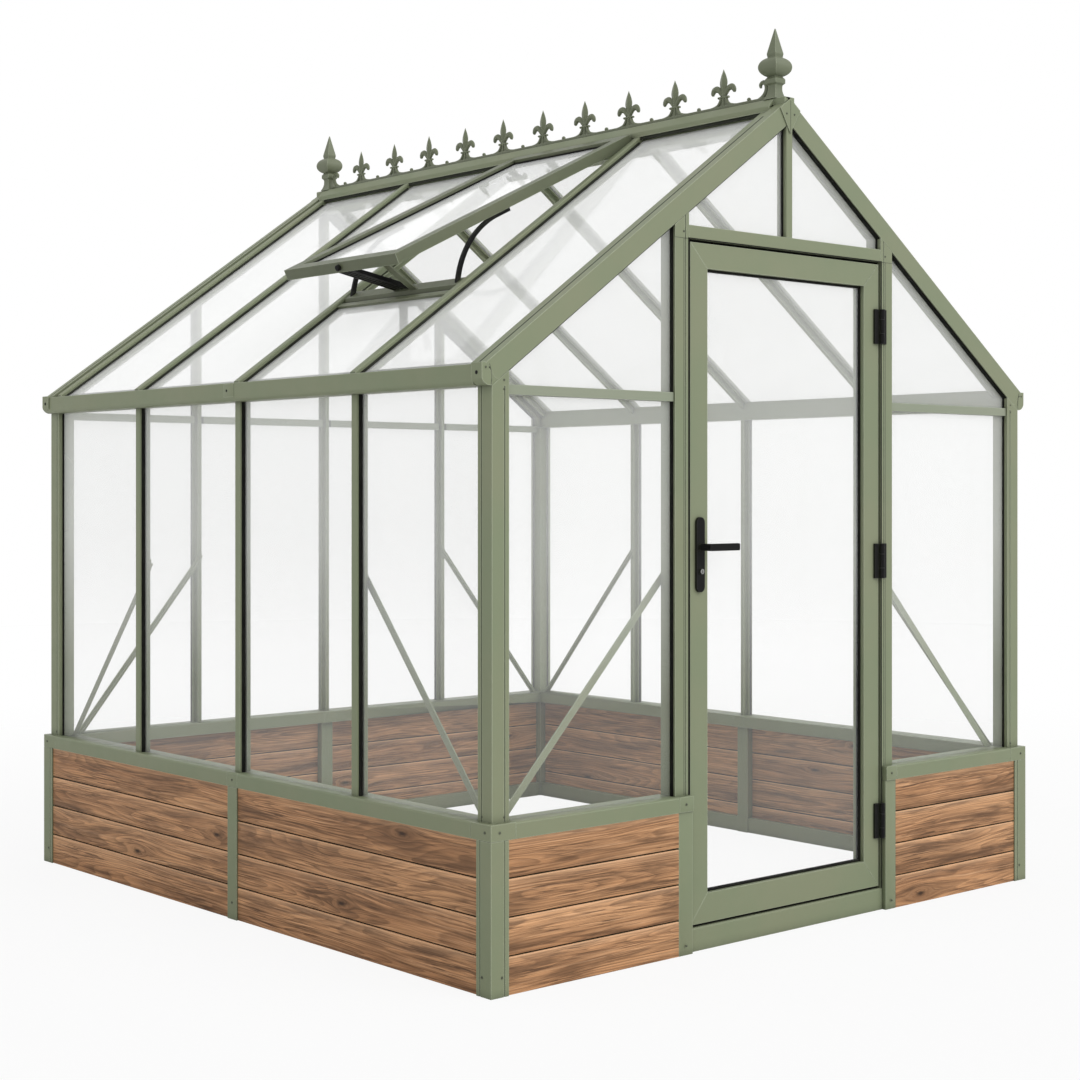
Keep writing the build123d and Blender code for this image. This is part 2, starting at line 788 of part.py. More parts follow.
with BuildPart() as vent_end_rails:
    with BuildSketch(vent_plane.offset(vent_under)):
        Polygon(
            (vent_tongue_length, -vent_half),
            (vent_inner_top, -vent_inner_half),
            (vent_inner_top, vent_inner_half),
            (vent_tongue_length, vent_half),
            align=None,
        )
        Polygon(
            (vent_length, -vent_half),
            (vent_length, vent_half),
            (vent_inner_end, vent_inner_half),
            (vent_inner_end, -vent_inner_half),
            align=None,
        )
    extrude(amount=vent_depth)
    bead_plane = Plane(
        origin=vent_plane.from_local_coords((0, -vent_half, 0)),
        x_dir=vent_plane.x_dir,
        z_dir=vent_plane.y_dir,
    )
    with BuildSketch(bead_plane):
        Circle(vent_bead_radius)
        Rectangle(vent_tongue_length, vent_tongue_thickness, align=(Align.MIN, Align.CENTER))
    extrude(amount=2 * vent_half)
save(vent_end_rails, "vent_end_rails")

with BuildPart() as vent_glass:
    with BuildSketch(vent_plane.offset(vent_under + (vent_depth - glass_thickness) / 2)):
        with Locations(((vent_inner_top + vent_inner_end) / 2, 0)):
            Rectangle(vent_inner_end - vent_inner_top, 2 * vent_inner_half)
    extrude(amount=glass_thickness)
save(vent_glass, "vent_glass")


def vent_point(along, depth):
    """Point at a distance along the vent from its hinge, at a depth under the vent frame."""
    point = vent_plane.from_local_coords((along, 0, vent_under - depth))
    return (point.X, point.Z)


def sill_top(share):
    """Point of the sill's upper face, at a share of its width from its lower edge."""
    x = sill_low_x - share * vent_sill_width * cos(slope)
    return (-x, roof_z(x, sill_ledge_drop))


# Opener: a wax cylinder hung under the sill and a pair of links up to the vent's bottom rail
with BuildPart() as vent_opener_tube:
    tube_x = (sill_low_x + sill_high_x) / 2
    tube_top = roof_z(tube_x, sill_bottom_drop)
    with BuildSketch(Plane.XY.offset(tube_top - opener_tube_length)):
        with Locations((-tube_x, vent_centre_y)):
            Circle(opener_tube_radius)
    extrude(amount=opener_tube_length + opener_tube_radius)
    underside = Plane(origin=(-tube_x, vent_centre_y, tube_top), z_dir=(-sin(slope), 0, cos(slope)))
    split(bisect_by=underside, keep=Keep.BOTTOM)
save(vent_opener_tube, "vent_opener_tube")

link_places = (vent_centre_y - opener_arm_spread, vent_centre_y + opener_arm_spread)
stay_places = (vent_centre_y - vent_half + vent_rail / 2, vent_centre_y + vent_half - vent_rail / 2)
foot_shares = (0.25, 0.75)
link_head = vent_length - vent_rail / 2
stay_bend = vent_length * stay_head_share
down_the_vent = (-cos(vent_slope), -sin(vent_slope))
with BuildPart() as vent_opener_arms:
    for place in link_places:
        with BuildSketch(Plane.XZ.offset(-place - opener_arm_width / 2)):
            Polygon(
                sill_top(foot_shares[0]),
                sill_top(foot_shares[1]),
                vent_point(link_head - opener_arm_depth / 2, 0),
                vent_point(link_head + opener_arm_depth / 2, 0),
                align=None,
            )
        extrude(amount=opener_arm_width)
    for place in stay_places:
        with BuildSketch(Plane.XZ.offset(-place - stay_width / 2)):
            with BuildLine():
                Polyline(
                    vent_point(stay_bend, 0),
                    vent_point(stay_bend - stay_pad_length, 0),
                    vent_point(stay_bend - stay_pad_length, stay_depth),
                    vent_point(stay_bend, stay_depth),
                )
                TangentArc(vent_point(stay_bend, 0), sill_top(foot_shares[0]), tangent=down_the_vent)
                TangentArc(vent_point(stay_bend, stay_depth), sill_top(foot_shares[1]), tangent=down_the_vent)
                Line(sill_top(foot_shares[0]), sill_top(foot_shares[1]))
            make_face()
        extrude(amount=stay_width)
save(vent_opener_arms, "vent_opener_arms")

# Knob on the front face of the vent's bottom rail
with BuildPart() as vent_knob:
    knob_plane = Plane(
        origin=vent_plane.from_local_coords((vent_length, 0, vent_under + vent_depth / 2)),
        z_dir=vent_plane.x_dir,
    )
    with BuildSketch(knob_plane):
        Circle(knob_radius)
    extrude(amount=knob_length)
    rim = vent_knob.faces().sort_by(Axis.X)[0].edges()
    fillet(rim, knob_length / 4)
save(vent_knob, "vent_knob")

# Wall braces: ribbed flats from mid-height on a bar or door post down to the base rail


def brace(plane, head, foot, stop):
    """Brace on a wall plane: from the upright at u = head down to u = foot, cut upright at u = stop."""
    run = abs(head - foot)
    length = (run**2 + brace_rise**2) ** 0.5
    flat_cut = brace_width * length / brace_rise
    upright_cut = brace_width * length / run
    side = 1 if head > foot else -1
    reach = abs(stop - foot) / run * brace_rise
    for width_share, thickness in ((1, brace_thickness), (brace_rib_width / brace_width, brace_rib_depth)):
        half_foot = flat_cut * width_share / 2
        half_head = upright_cut * width_share / 2
        with BuildSketch(plane, mode=Mode.PRIVATE) as outline:
            Polygon(
                (foot - side * half_foot, base_height),
                (foot + side * half_foot, base_height),
                (stop, base_height + reach - half_head),
                (stop, base_height + reach + half_head),
                align=None,
            )
        extrude(outline.sketch, amount=thickness)


brace_foot_y = post_inner_y - brace_foot_gap
brace_foot_x = post_inner_x - brace_foot_gap
left_brace_plane = Plane.YZ.offset(bar_depth - frame_x)
front_brace_plane = Plane(origin=(0, -post_inner_y, 0), x_dir=(-1, 0, 0), z_dir=(0, 1, 0))
back_brace_plane = Plane.XZ.offset(bar_depth - frame_y)
half_stem = stem_width / 2
with BuildPart() as wall_braces:
    brace(left_brace_plane, side_bar_places[0], -brace_foot_y, side_bar_places[0] + half_stem)
    mirror(about=Plane.XZ)
    brace(front_brace_plane, door_post_outer, brace_foot_x, door_post_outer - door_post / 2)
    brace(back_brace_plane, back_bar_places[0], -brace_foot_x, back_bar_places[0] + half_stem)
    mirror(about=Plane.YZ)
save(wall_braces, "wall_braces")

# Ridge cresting: fleurs-de-lis on a strip, with a bead between each two


def fleur():
    """Outline of one fleur-de-lis: flared foot, band, two curled petals and a pointed leaf."""

    def at(shares):
        return (fleur_half_width * shares[0], fleur_height * shares[1])

    def across(shares):
        return (-fleur_half_width * shares[0], fleur_height * shares[1])

    toe, foot_bend, foot_top = fleur_foot_shares
    leaf_root, leaf_waist, leaf_side, leaf_shoulder, leaf_tip = fleur_leaf_shares
    start, rise, crown, tip, curl, under, bend, end = fleur_petal_shares
    with BuildSketch() as outline:
        with BuildLine():
            Line(across(toe), at(toe))
            Bezier(at(toe), at(foot_bend), at(foot_top))
            Line(at(foot_top), across(foot_top))
            Bezier(across(foot_top), across(foot_bend), across(toe))
        make_face()
        with Locations((0, fleur_height * foot_top[1])):
            Rectangle(*at(fleur_band_shares))
        with BuildLine():
            Line(across(leaf_root), at(leaf_root))
            ThreePointArc(at(leaf_root), at(leaf_waist), at(leaf_side))
            ThreePointArc(at(leaf_side), at(leaf_shoulder), at(leaf_tip))
            ThreePointArc(at(leaf_tip), across(leaf_shoulder), across(leaf_side))
            ThreePointArc(across(leaf_side), across(leaf_waist), across(leaf_root))
        make_face()
        with BuildLine():
            Bezier(at(start), at(rise), at(crown), at(tip))
            ThreePointArc(at(tip), at(curl), at(under))
            Bezier(at(under), at(bend), at(end))
            Line(at(end), at(start))
        make_face()
        mirror(about=Plane.YZ)
    return outline.sketch


finial_foot = finial_width * finial_pedestal_share
finial_neck = finial_width * finial_neck_share
finial_collar = finial_width * finial_collar_share
pedestal_top, collar_low, collar_high, bulb_low = [finial_height * share for share in finial_collar_shares]
bulb_middle, bulb_high = [finial_height * share for share in finial_bulb_shares]
ring_low, ring_high = [finial_height * share for share in finial_ring_shares]


def scroll():
    """Outline of the half curl beside a finial: u runs from the finial's axis along the ridge."""
    gap = crest_end_gap
    waist = (finial_neck + scroll_waist, pedestal_top - scroll_waist)
    tip = (finial_collar + scroll_tip_out, collar_low - scroll_tip_drop / 2)
    with BuildSketch() as outline:
        with BuildLine():
            Line((scroll_foot, 0), (finial_foot + gap, 0))
            SagittaArc((finial_foot + gap, 0), (finial_neck + gap, pedestal_top), finial_neck / 4)
            Line((finial_neck + gap, pedestal_top), (finial_collar + gap, collar_low))
            ThreePointArc((finial_collar + gap, collar_low), (finial_collar + scroll_crown, collar_high), tip)
            ThreePointArc(tip, (finial_collar + scroll_crown, collar_low), waist)
            SagittaArc(waist, (scroll_foot, crest_strip_height), -finial_neck / 2)
            Line((scroll_foot, crest_strip_height), (scroll_foot, 0))
        make_face()
    return outline.sketch


finial_y = frame_y - finial_setback
crest_half = finial_y - finial_foot - crest_end_gap
fleur_pitch = 2 * finial_y / (fleur_count + 1)
fleur_places = [fleur_pitch * number - finial_y for number in range(1, fleur_count + 1)]
bead_places = [fleur_pitch * number - finial_y + fleur_pitch / 2 for number in range(fleur_count + 1)]
bead_centre = cap_top + crest_strip_height + bead_radius / 2
with BuildPart() as ridge_cresting:
    with BuildSketch(Plane.YZ):
        with Locations((0, cap_top)):
            Rectangle(2 * crest_half, crest_strip_height, align=(Align.CENTER, Align.MIN))
        with Locations([(place, cap_top + crest_strip_height / 2) for place in fleur_places]):
            add(fleur())
        with Locations([(place, bead_centre) for place in bead_places]):
            Circle(bead_radius)
        with Locations((-finial_y, cap_top)):
            add(scroll())
        with Locations((finial_y, cap_top)):
            add(mirror(scroll(), about=Plane.YZ, mode=Mode.PRIVATE))
    extrude(amount=crest_thickness / 2, both=True)
save(ridge_cresting, "ridge_cresting")

# Finials: square-section pedestal, collar, bulb and spike at both ends of the ridge


def finial_outline():
    """Outline of a finial, seen square on, standing on the origin."""
    ring = finial_width * finial_ring_share
    with BuildSketch() as outline:
        with BuildLine():
            Line((0, 0), (finial_foot, 0))
            SagittaArc((finial_foot, 0), (finial_neck, pedestal_top), finial_neck / 4)
            Polyline(
                (finial_neck, pedestal_top),
                (finial_collar, collar_low),
                (finial_collar, collar_high),
                (finial_neck, bulb_low),
            )
            ThreePointArc((finial_neck, bulb_low), (finial_width / 2, bulb_middle), (finial_neck, bulb_high))
            Polyline(
                (finial_neck, bulb_high),
                (ring, ring_low),
                (ring, ring_high),
                (finial_width * finial_tip_share, finial_height),
                (0, finial_height),
                (0, 0),
            )
        make_face()
        mirror(about=Plane.YZ)
    return outline.sketch


with BuildPart() as finials:
    with BuildSketch(Plane.XZ.offset(finial_y)):
        with Locations((0, cap_top)):
            add(finial_outline())
    extrude(amount=finial_width, both=True)
    with BuildSketch(Plane.YZ):
        with Locations((-finial_y, cap_top)):
            add(finial_outline())
    extrude(amount=finial_width, both=True, mode=Mode.INTERSECT)
    mirror(about=Plane.XZ)
save(finials, "finials")

# Door leaf: mitred box-section frame round one pane
leaf_half = door_width / 2
leaf_inner = leaf_half - door_stile
pane_bottom = door_bottom + door_bottom_rail
pane_top = door_top - door_top_rail
lever_x = -leaf_half + door_stile / 2
with BuildPart() as door_stiles:
    with BuildSketch(Plane.XZ.offset(door_back_y)):
        Polygon(
            (-leaf_half, door_bottom),
            (-leaf_inner, pane_bottom),
            (-leaf_inner, pane_top),
            (-leaf_half, door_top),
            align=None,
        )
        mirror(about=Plane.YZ)
        with Locations((lever_x, lever_height)):
            Circle(spindle_radius + spindle_gap, mode=Mode.SUBTRACT)
    extrude(amount=door_thickness)
save(door_stiles, "door_stiles")

with BuildPart() as door_rails:
    with BuildSketch(Plane.XZ.offset(door_back_y)):
        Polygon(
            (-leaf_half, door_bottom),
            (leaf_half, door_bottom),
            (leaf_inner, pane_bottom),
            (-leaf_inner, pane_bottom),
            align=None,
        )
        Polygon(
            (-leaf_half, door_top),
            (-leaf_inner, pane_top),
            (leaf_inner, pane_top),
            (leaf_half, door_top),
            align=None,
        )
    extrude(amount=door_thickness)
save(door_rails, "door_rails")

with BuildPart() as door_glass:
    with BuildSketch(Plane.XZ.offset(door_back_y + (door_thickness - glass_thickness) / 2)):
        with Locations((0, (pane_bottom + pane_top) / 2)):
            Rectangle(2 * leaf_inner, pane_top - pane_bottom)
    extrude(amount=glass_thickness)
save(door_glass, "door_glass")

# Handle plates with round ends, inside and outside; the lock cylinder shows below the lever
plate_middle = lever_height - plate_below_lever + plate_height / 2
with BuildPart() as handle_plates:
    for plane in (Plane.XZ.offset(door_face_y), Plane.XZ.offset(door_back_y - plate_thickness)):
        with BuildSketch(plane):
            with Locations((lever_x, plate_middle)):
                SlotOverall(plate_height, plate_width, rotation=90)
            with Locations((lever_x, lever_height)):
                Circle(spindle_radius + spindle_gap, mode=Mode.SUBTRACT)
        extrude(amount=plate_thickness)
    with BuildSketch(Plane.XZ.offset(door_face_y + plate_thickness)):
        with Locations((lever_x, cylinder_height)):
            Circle(cylinder_radius)
    extrude(amount=cylinder_length)
save(handle_plates, "handle_plates")

# Lever handle: a spindle through the stile with a lever on each side
hub_outer_y = door_face_y + plate_thickness + lever_hub_gap
hub_inner_y = door_back_y - plate_thickness - lever_hub_gap
arm_outer_y = door_face_y + lever_standoff
arm_inner_y = door_back_y - lever_standoff


def lever(hub_start, hub_end, arm_end):
    """Hub from one depth to the next, and the rounded arm beyond it, as depths towards -Y."""
    with BuildSketch(Plane.XZ.offset(hub_start), mode=Mode.PRIVATE) as hub:
        with Locations((lever_x, lever_height)):
            Circle(lever_hub_radius)
    extrude(hub.sketch, amount=hub_end - hub_start)
    with BuildSketch(Plane.XZ.offset(hub_end), mode=Mode.PRIVATE) as arm:
        with Locations((lever_x - lever_hub_radius, lever_height)):
            Rectangle(lever_length, 2 * lever_hub_radius, align=(Align.MIN, Align.CENTER))
        fillet(arm.vertices(), lever_hub_radius / 2)
    extrude(arm.sketch, amount=arm_end - hub_end)


with BuildPart() as outer_lever:
    lever(hub_outer_y, arm_outer_y, arm_outer_y + lever_thickness)
save(outer_lever, "outer_lever")

with BuildPart() as inner_lever:
    lever(hub_inner_y, arm_inner_y, arm_inner_y - lever_thickness)
save(inner_lever, "inner_lever")

with BuildPart() as lever_spindle:
    with BuildSketch(Plane.XZ.offset(hub_inner_y)):
        with Locations((lever_x, lever_height)):
            Circle(spindle_radius)
    extrude(amount=hub_outer_y - hub_inner_y)
save(lever_spindle, "lever_spindle")

# Hinges: three knuckles to a hinge, the outer two and the pin on the post, the middle one on the leaf
hinge_x = leaf_half + door_gap / 2
hinge_y = frame_y + hinge_knuckle_radius
hinge_face_y = frame_y + hinge_leaf_thickness
knuckle_clear = hinge_knuckle_radius + hinge_end_gap
low_share, high_share = hinge_barrel_shares


def knuckle(bottom, height, bore):
    """Round knuckle about the hinge pin, bored where a radius is given."""
    with BuildSketch(Plane.XY.offset(bottom), mode=Mode.PRIVATE) as ring:
        with Locations((hinge_x, -hinge_y)):
            Circle(hinge_knuckle_radius)
            if bore:
                Circle(bore, mode=Mode.SUBTRACT)
    extrude(ring.sketch, amount=height)


with BuildPart() as frame_hinges:
    for height in hinge_heights:
        bottom = height - hinge_length / 2
        low_end = hinge_length * low_share - hinge_end_gap
        with BuildSketch(Plane.XY.offset(bottom)):
            with Locations((hinge_x + knuckle_clear, -frame_y)):
                Rectangle(hinge_leaf_width, hinge_leaf_thickness, align=(Align.MIN, Align.MAX))
        extrude(amount=hinge_length)
        for start in (bottom, bottom + hinge_length - low_end):
            with BuildSketch(Plane.XY.offset(start)):
                with Locations((hinge_x, -frame_y)):
                    Rectangle(knuckle_clear, hinge_leaf_thickness, align=(Align.MIN, Align.MAX))
            extrude(amount=low_end)
            knuckle(start, low_end, 0)
        with BuildSketch(Plane.XY.offset(bottom)):
            with Locations((hinge_x, -hinge_y)):
                Circle(hinge_pin_radius)
        extrude(amount=hinge_length)
save(frame_hinges, "frame_hinges")

with BuildPart() as door_hinges:
    for height in hinge_heights:
        bottom = height - hinge_length / 2
        start = bottom + hinge_length * low_share
        span = hinge_length * (high_share - low_share)
        leaf_thickness = hinge_face_y - door_face_y
        with BuildSketch(Plane.XY.offset(bottom)):
            with Locations((hinge_x - knuckle_clear, -door_face_y)):
                Rectangle(hinge_leaf_width, leaf_thickness, align=(Align.MAX, Align.MAX))
        extrude(amount=hinge_length)
        with BuildSketch(Plane.XY.offset(start)):
            with Locations((hinge_x, -frame_y)):
                Rectangle(knuckle_clear, hinge_leaf_thickness, align=(Align.MAX, Align.MAX))
        extrude(amount=span)
        knuckle(start, span, 0)
        with BuildSketch(Plane.XY.offset(start)):
            with Locations((hinge_x, -hinge_y)):
                Circle(hinge_pin_radius + hinge_running_gap)
        extrude(amount=span, mode=Mode.SUBTRACT)
save(door_hinges, "door_hinges")
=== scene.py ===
import math
import random
import bmesh
import bpy
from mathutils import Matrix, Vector


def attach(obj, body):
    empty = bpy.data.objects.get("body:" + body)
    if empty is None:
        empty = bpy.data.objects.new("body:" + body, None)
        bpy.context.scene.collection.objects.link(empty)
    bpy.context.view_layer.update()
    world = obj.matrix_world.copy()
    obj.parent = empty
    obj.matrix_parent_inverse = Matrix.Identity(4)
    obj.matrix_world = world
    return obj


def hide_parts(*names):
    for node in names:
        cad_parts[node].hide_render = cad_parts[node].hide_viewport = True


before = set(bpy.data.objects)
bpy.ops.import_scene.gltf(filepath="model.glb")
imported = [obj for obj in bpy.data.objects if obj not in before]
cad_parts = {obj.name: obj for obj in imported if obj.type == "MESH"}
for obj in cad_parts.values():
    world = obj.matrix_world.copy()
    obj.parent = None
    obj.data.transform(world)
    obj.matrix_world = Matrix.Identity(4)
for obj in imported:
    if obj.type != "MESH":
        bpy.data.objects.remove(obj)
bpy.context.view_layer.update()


# Base frame: square posts at the corners and mid-runs, box rails on the ground and a ledge rail on top.
# Aluminium extrusions with a sage green powder coat, cut square and screwed through the joint blocks.
sage_coat_colour = (0.208, 0.243, 0.146, 1.0)
sage_coat_faded = (0.226, 0.248, 0.152, 1.0)
# The third colour is a painted highlight, laid along the arrises of the coat.
sage_coat_highlight = (0.500, 0.550, 0.420, 1.0)


def finish_group(name, takes, gives):
    tree = bpy.data.node_groups.new(name, "ShaderNodeTree")
    for label, kind in takes:
        tree.interface.new_socket(label, in_out="INPUT", socket_type="NodeSocket" + kind)
    for label, kind in gives:
        tree.interface.new_socket(label, in_out="OUTPUT", socket_type="NodeSocket" + kind)
    return tree, tree.nodes.new("NodeGroupInput").outputs, tree.nodes.new("NodeGroupOutput").inputs


def fit(tree, kind, feeds, **settings):
    node = tree.nodes.new("ShaderNode" + kind)
    for key, value in settings.items():
        setattr(node, key, value)
    for key, value in feeds.items():
        if isinstance(value, bpy.types.NodeSocket):
            tree.links.new(value, node.inputs[key])
        else:
            node.inputs[key].default_value = value
    return node.outputs


def sums(tree, operation, first, second):
    return fit(tree, "Math", {0: first, 1: second}, operation=operation)[0]


def blended(tree, share, first, second, how="MIX"):
    node = tree.nodes.new("ShaderNodeMix")
    node.data_type = "RGBA"
    node.blend_type = how
    for socket, value in ((node.inputs[0], share), (node.inputs[6], first), (node.inputs[7], second)):
        if isinstance(value, bpy.types.NodeSocket):
            tree.links.new(value, socket)
        else:
            socket.default_value = value
    return node.outputs[2]


def ranged(tree, value, low, high, to_low=0.0, to_high=1.0):
    return fit(tree, "MapRange", {0: value, 1: low, 2: high, 3: to_low, 4: to_high})[0]


coat, coat_in, coat_out = finish_group(
    "powder_coat",
    [("Colour", "Color"), ("Faded", "Color"), ("Edge", "Color"), ("Edge share", "Float")],
    [("Colour", "Color"), ("Roughness", "Float"), ("Height", "Float")],
)
coat_place = fit(coat, "TexCoord", {})["Object"]
coat_cloud = fit(coat, "TexNoise", {"Vector": coat_place, "Scale": 2.6, "Detail": 4.0, "Roughness": 0.6})["Fac"]
coat_peel = fit(coat, "TexNoise", {"Vector": coat_place, "Scale": 620.0, "Detail": 2.0})["Fac"]
coat_handled = fit(coat, "TexNoise", {"Vector": coat_place, "Scale": 17.0, "Detail": 5.0, "Roughness": 0.7})["Fac"]
# Painted highlight: where the bevelled normal turns away from the flat one, the colour is lightened towards the Edge
# colour along the arrises.
coat_round = fit(coat, "Bevel", {"Radius": 0.0042}, samples=4)["Normal"]
coat_flat = fit(coat, "NewGeometry", {})["Normal"]
coat_turn = fit(coat, "VectorMath", {0: coat_round, 1: coat_flat}, operation="DOT_PRODUCT")["Value"]
coat_edge_highlight = sums(coat, "MULTIPLY", ranged(coat, coat_turn, 0.99, 0.80), coat_in["Edge share"])
# Painted shade: ambient occlusion darkens the coat towards a dark olive in corners, creases and recesses.
coat_shade = fit(coat, "AmbientOcclusion", {"Distance": 0.03}, samples=4)["AO"]
coat_tone = blended(coat, ranged(coat, coat_cloud, 0.38, 0.62), coat_in["Colour"], coat_in["Faded"])
coat_highlighted = blended(coat, coat_edge_highlight, coat_tone, coat_in["Edge"])
coat_crevice_shaded = blended(coat, ranged(coat, coat_shade, 0.9, 0.2, 0.0, 0.6), coat_highlighted, (0.05, 0.055, 0.035, 1.0))
coat.links.new(coat_crevice_shaded, coat_out["Colour"])
coat.links.new(ranged(coat, coat_handled, 0.3, 0.7, 0.40, 0.54), coat_out["Roughness"])
coat.links.new(coat_peel, coat_out["Height"])


def coated(name, colour, faded, edge, highlight_share, gloss=0.35):
    material = bpy.data.materials.new(name)
    material.use_nodes = True
    tree = material.node_tree
    shader = tree.nodes["Principled BSDF"]
    layer = tree.nodes.new("ShaderNodeGroup")
    layer.node_tree = coat
    layer.inputs["Colour"].default_value = colour
    layer.inputs["Faded"].default_value = faded
    # Edge and its share set the painted highlight along the arrises.
    layer.inputs["Edge"].default_value = edge
    layer.inputs["Edge share"].default_value = highlight_share
    tree.links.new(layer.outputs["Colour"], shader.inputs["Base Color"])
    tree.links.new(layer.outputs["Roughness"], shader.inputs["Roughness"])
    shader.inputs["Specular IOR Level"].default_value = gloss
    peel = fit(tree, "Bump", {"Strength": 0.12, "Distance": 0.0004, "Height": layer.outputs["Height"]})
    tree.links.new(peel["Normal"], shader.inputs["Normal"])
    return material


sage_coat = coated("sage_powder_coat", sage_coat_colour, sage_coat_faded, sage_coat_highlight, 0.72)


def mesh_piece(name, bm, material, body, smooth_angle=35):
    mesh = bpy.data.meshes.new(name)
    bm.to_mesh(mesh)
    bm.free()
    stale = mesh.attributes.get("custom_normal")
    if stale:
        mesh.attributes.remove(stale)
    mesh.shade_smooth()
    mesh.set_sharp_from_angle(angle=math.radians(smooth_angle))
    mesh.materials.clear()
    mesh.materials.append(material)
    piece = bpy.data.objects.new(name, mesh)
    bpy.context.scene.collection.objects.link(piece)
    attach(piece, body)
    return piece


def eased(node, radius, material, body="frame", sharpest=32):
    bm = bmesh.new()
    bm.from_mesh(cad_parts[node].data)
    bmesh.ops.remove_doubles(bm, verts=bm.verts, dist=1e-5)
    bmesh.ops.dissolve_limit(bm, angle_limit=math.radians(1.0), verts=bm.verts, edges=bm.edges)
    corners = [e for e in bm.edges if e.calc_face_angle(0.0) > math.radians(sharpest)]
    bmesh.ops.bevel(bm, geom=corners, offset=radius, segments=2, profile=0.6, affect="EDGES", clamp_overlap=True)
    piece = mesh_piece("eased_" + node, bm, material, body)
    weighted = piece.modifiers.new("flat_faces", "WEIGHTED_NORMAL")
    weighted.keep_sharp = True
    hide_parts(node)
    return piece


for base_node in ("base_posts", "base_bottom_rails"):
    eased(base_node, 0.0025, sage_coat)
for ledge_node in ("base_top_rails", "base_rail_joints"):
    eased(ledge_node, 0.0020, sage_coat)

screw_coat = coated(
    "dull_screw_coat", (0.060, 0.068, 0.044, 1.0), (0.085, 0.095, 0.062, 1.0), (0.20, 0.22, 0.16, 1.0), 0.5,
)


def screw_head(bm, place, out, radius, rise=0.62):
    turn = Vector(out).to_track_quat("Z", "Y").to_matrix()
    cross = (0.54, 0.54, 0.20)
    rings = []
    for reach, lift in ((1.0, -0.2), (1.0, rise * 0.5), (0.80, rise * 0.93), (None, rise), (None, rise * 0.3)):
        ring = []
        for step in range(12):
            angle = math.radians(30.0 * step - 15.0)
            far = radius * (cross[step % 3] if reach is None else reach)
            spot = Vector((far * math.cos(angle), far * math.sin(angle), radius * lift))
            ring.append(bm.verts.new(Vector(place) + turn @ spot))
        rings.append(ring)
    for lower, upper in zip(rings, rings[1:]):
        for step in range(12):
            after = (step + 1) % 12
            bm.faces.new((lower[step], lower[after], upper[after], upper[step]))
    middle = bm.verts.new(Vector(place) + turn @ Vector((0.0, 0.0, radius * rise * 0.3)))
    for step in range(12):
        bm.faces.new((rings[-1][step], rings[-1][(step + 1) % 12], middle))


def screws(name, places, material, body="frame", rise=0.62):
    bm = bmesh.new()
    for place, out, radius in places:
        screw_head(bm, place, out, radius, rise)
    return mesh_piece(name, bm, material, body)


base_half_width, base_front = 1.250, 1.320
ledge_screw, foot_screw, doorside_screw = 0.4545, 0.055, 0.030
base_screw_radius = 0.0038
forward = (0, -1, 0)
base_screws = []
for side in (-1, 1):
    outward = (side, 0, 0)
    for end in (-1, 1):
        base_screws.append(((side * base_half_width, end * 1.293, ledge_screw), outward, base_screw_radius))
        base_screws.append(((side * base_half_width, end * 1.281, foot_screw), outward, base_screw_radius))
    base_screws.append(((side * 1.219, -base_front, ledge_screw), forward, base_screw_radius))
    base_screws.append(((side * 1.211, -base_front, foot_screw), forward, base_screw_radius))
    base_screws.append(((side * 0.488, -base_front, ledge_screw), forward, base_screw_radius))
    base_screws.append(((side * 0.488, -base_front, doorside_screw), forward, 0.0034))
    base_screws.append(((side * base_half_width, 0.0, ledge_screw), outward, base_screw_radius))
    base_screws.append(((side * base_half_width, 0.0, foot_screw), outward, base_screw_radius))
screws("base_screws", base_screws, screw_coat)


def flat_plate(bm, low, high, arris):
    made = bmesh.ops.create_cube(bm, size=1.0)["verts"]
    for v in made:
        v.co = Vector([low[i] if v.co[i] < 0 else high[i] for i in range(3)])
    edges = list(dict.fromkeys(e for v in made for e in v.link_edges))
    bmesh.ops.bevel(bm, geom=edges, offset=arris, segments=2, profile=0.6, affect="EDGES")


ledge_foot, ledge_top = 0.431, 0.478
doorside_posts = bmesh.new()
for near, far in ((-0.515, -0.455), (0.4625, 0.515)):
    flat_plate(doorside_posts, (near, -base_front + 0.005, 0.0), (far, -1.3002, ledge_foot - 0.0004), 0.0020)
    flat_plate(doorside_posts, (near, -base_front, ledge_foot), (far, -1.3002, ledge_top), 0.0020)
mesh_piece("doorside_base_posts", doorside_posts, sage_coat, "frame")


# Base planks: four wood-effect boards to each run of the low wall, let in between the posts.
# Grain film pressed over aluminium planks that lock into each other, with a small V between boards.
plank_count = 4
plank_arris = 0.0030
plank_joint = 0.0046
plank_bed = 0.006


def plank_run(bm, beds, grain, low, high, along, seed):
    rng = random.Random(seed)
    across = 1 - along
    pitch = (high.z - low.z) / plank_count
    for row in range(plank_count):
        z0 = low.z + row * pitch + (plank_joint / 2 if row else 0.0)
        z1 = low.z + (row + 1) * pitch - (plank_joint / 2 if row < plank_count - 1 else 0.0)
        shift_u = rng.uniform(0.0, 40.0)
        shift_v = rng.uniform(0.0, 40.0)
        made = bmesh.ops.create_cube(bm, size=1.0)["verts"]
        for v in made:
            corner = Vector((0.0, 0.0, z0 if v.co.z < 0 else z1))
            corner[along] = low[along] if v.co[along] < 0 else high[along]
            corner[across] = low[across] if v.co[across] < 0 else high[across]
            v.co = corner
        edges = dict.fromkeys(e for v in made for e in v.link_edges)
        long_edges = [e for e in edges if abs((e.verts[0].co - e.verts[1].co)[along]) > 0.1]
        faces = bmesh.ops.bevel(
            bm, geom=long_edges, offset=plank_arris, segments=2, profile=0.5, affect="EDGES",
        )["faces"]
        board = {f for v in made if v.is_valid for f in v.link_faces} | set(faces)
        board |= {f for g in list(board) for e in g.edges for f in e.link_faces}
        for face in board:
            for loop in face.loops:
                co = loop.vert.co
                loop[grain].uv = (co[along] + shift_u, co.z + shift_v + 0.3 * (co[across] - low[across]))
    bed_low = low.copy()
    bed_high = high.copy()
    bed_low[across] += plank_bed
    bed_high[across] -= plank_bed
    flat_plate(beds, bed_low, bed_high, 0.0005)


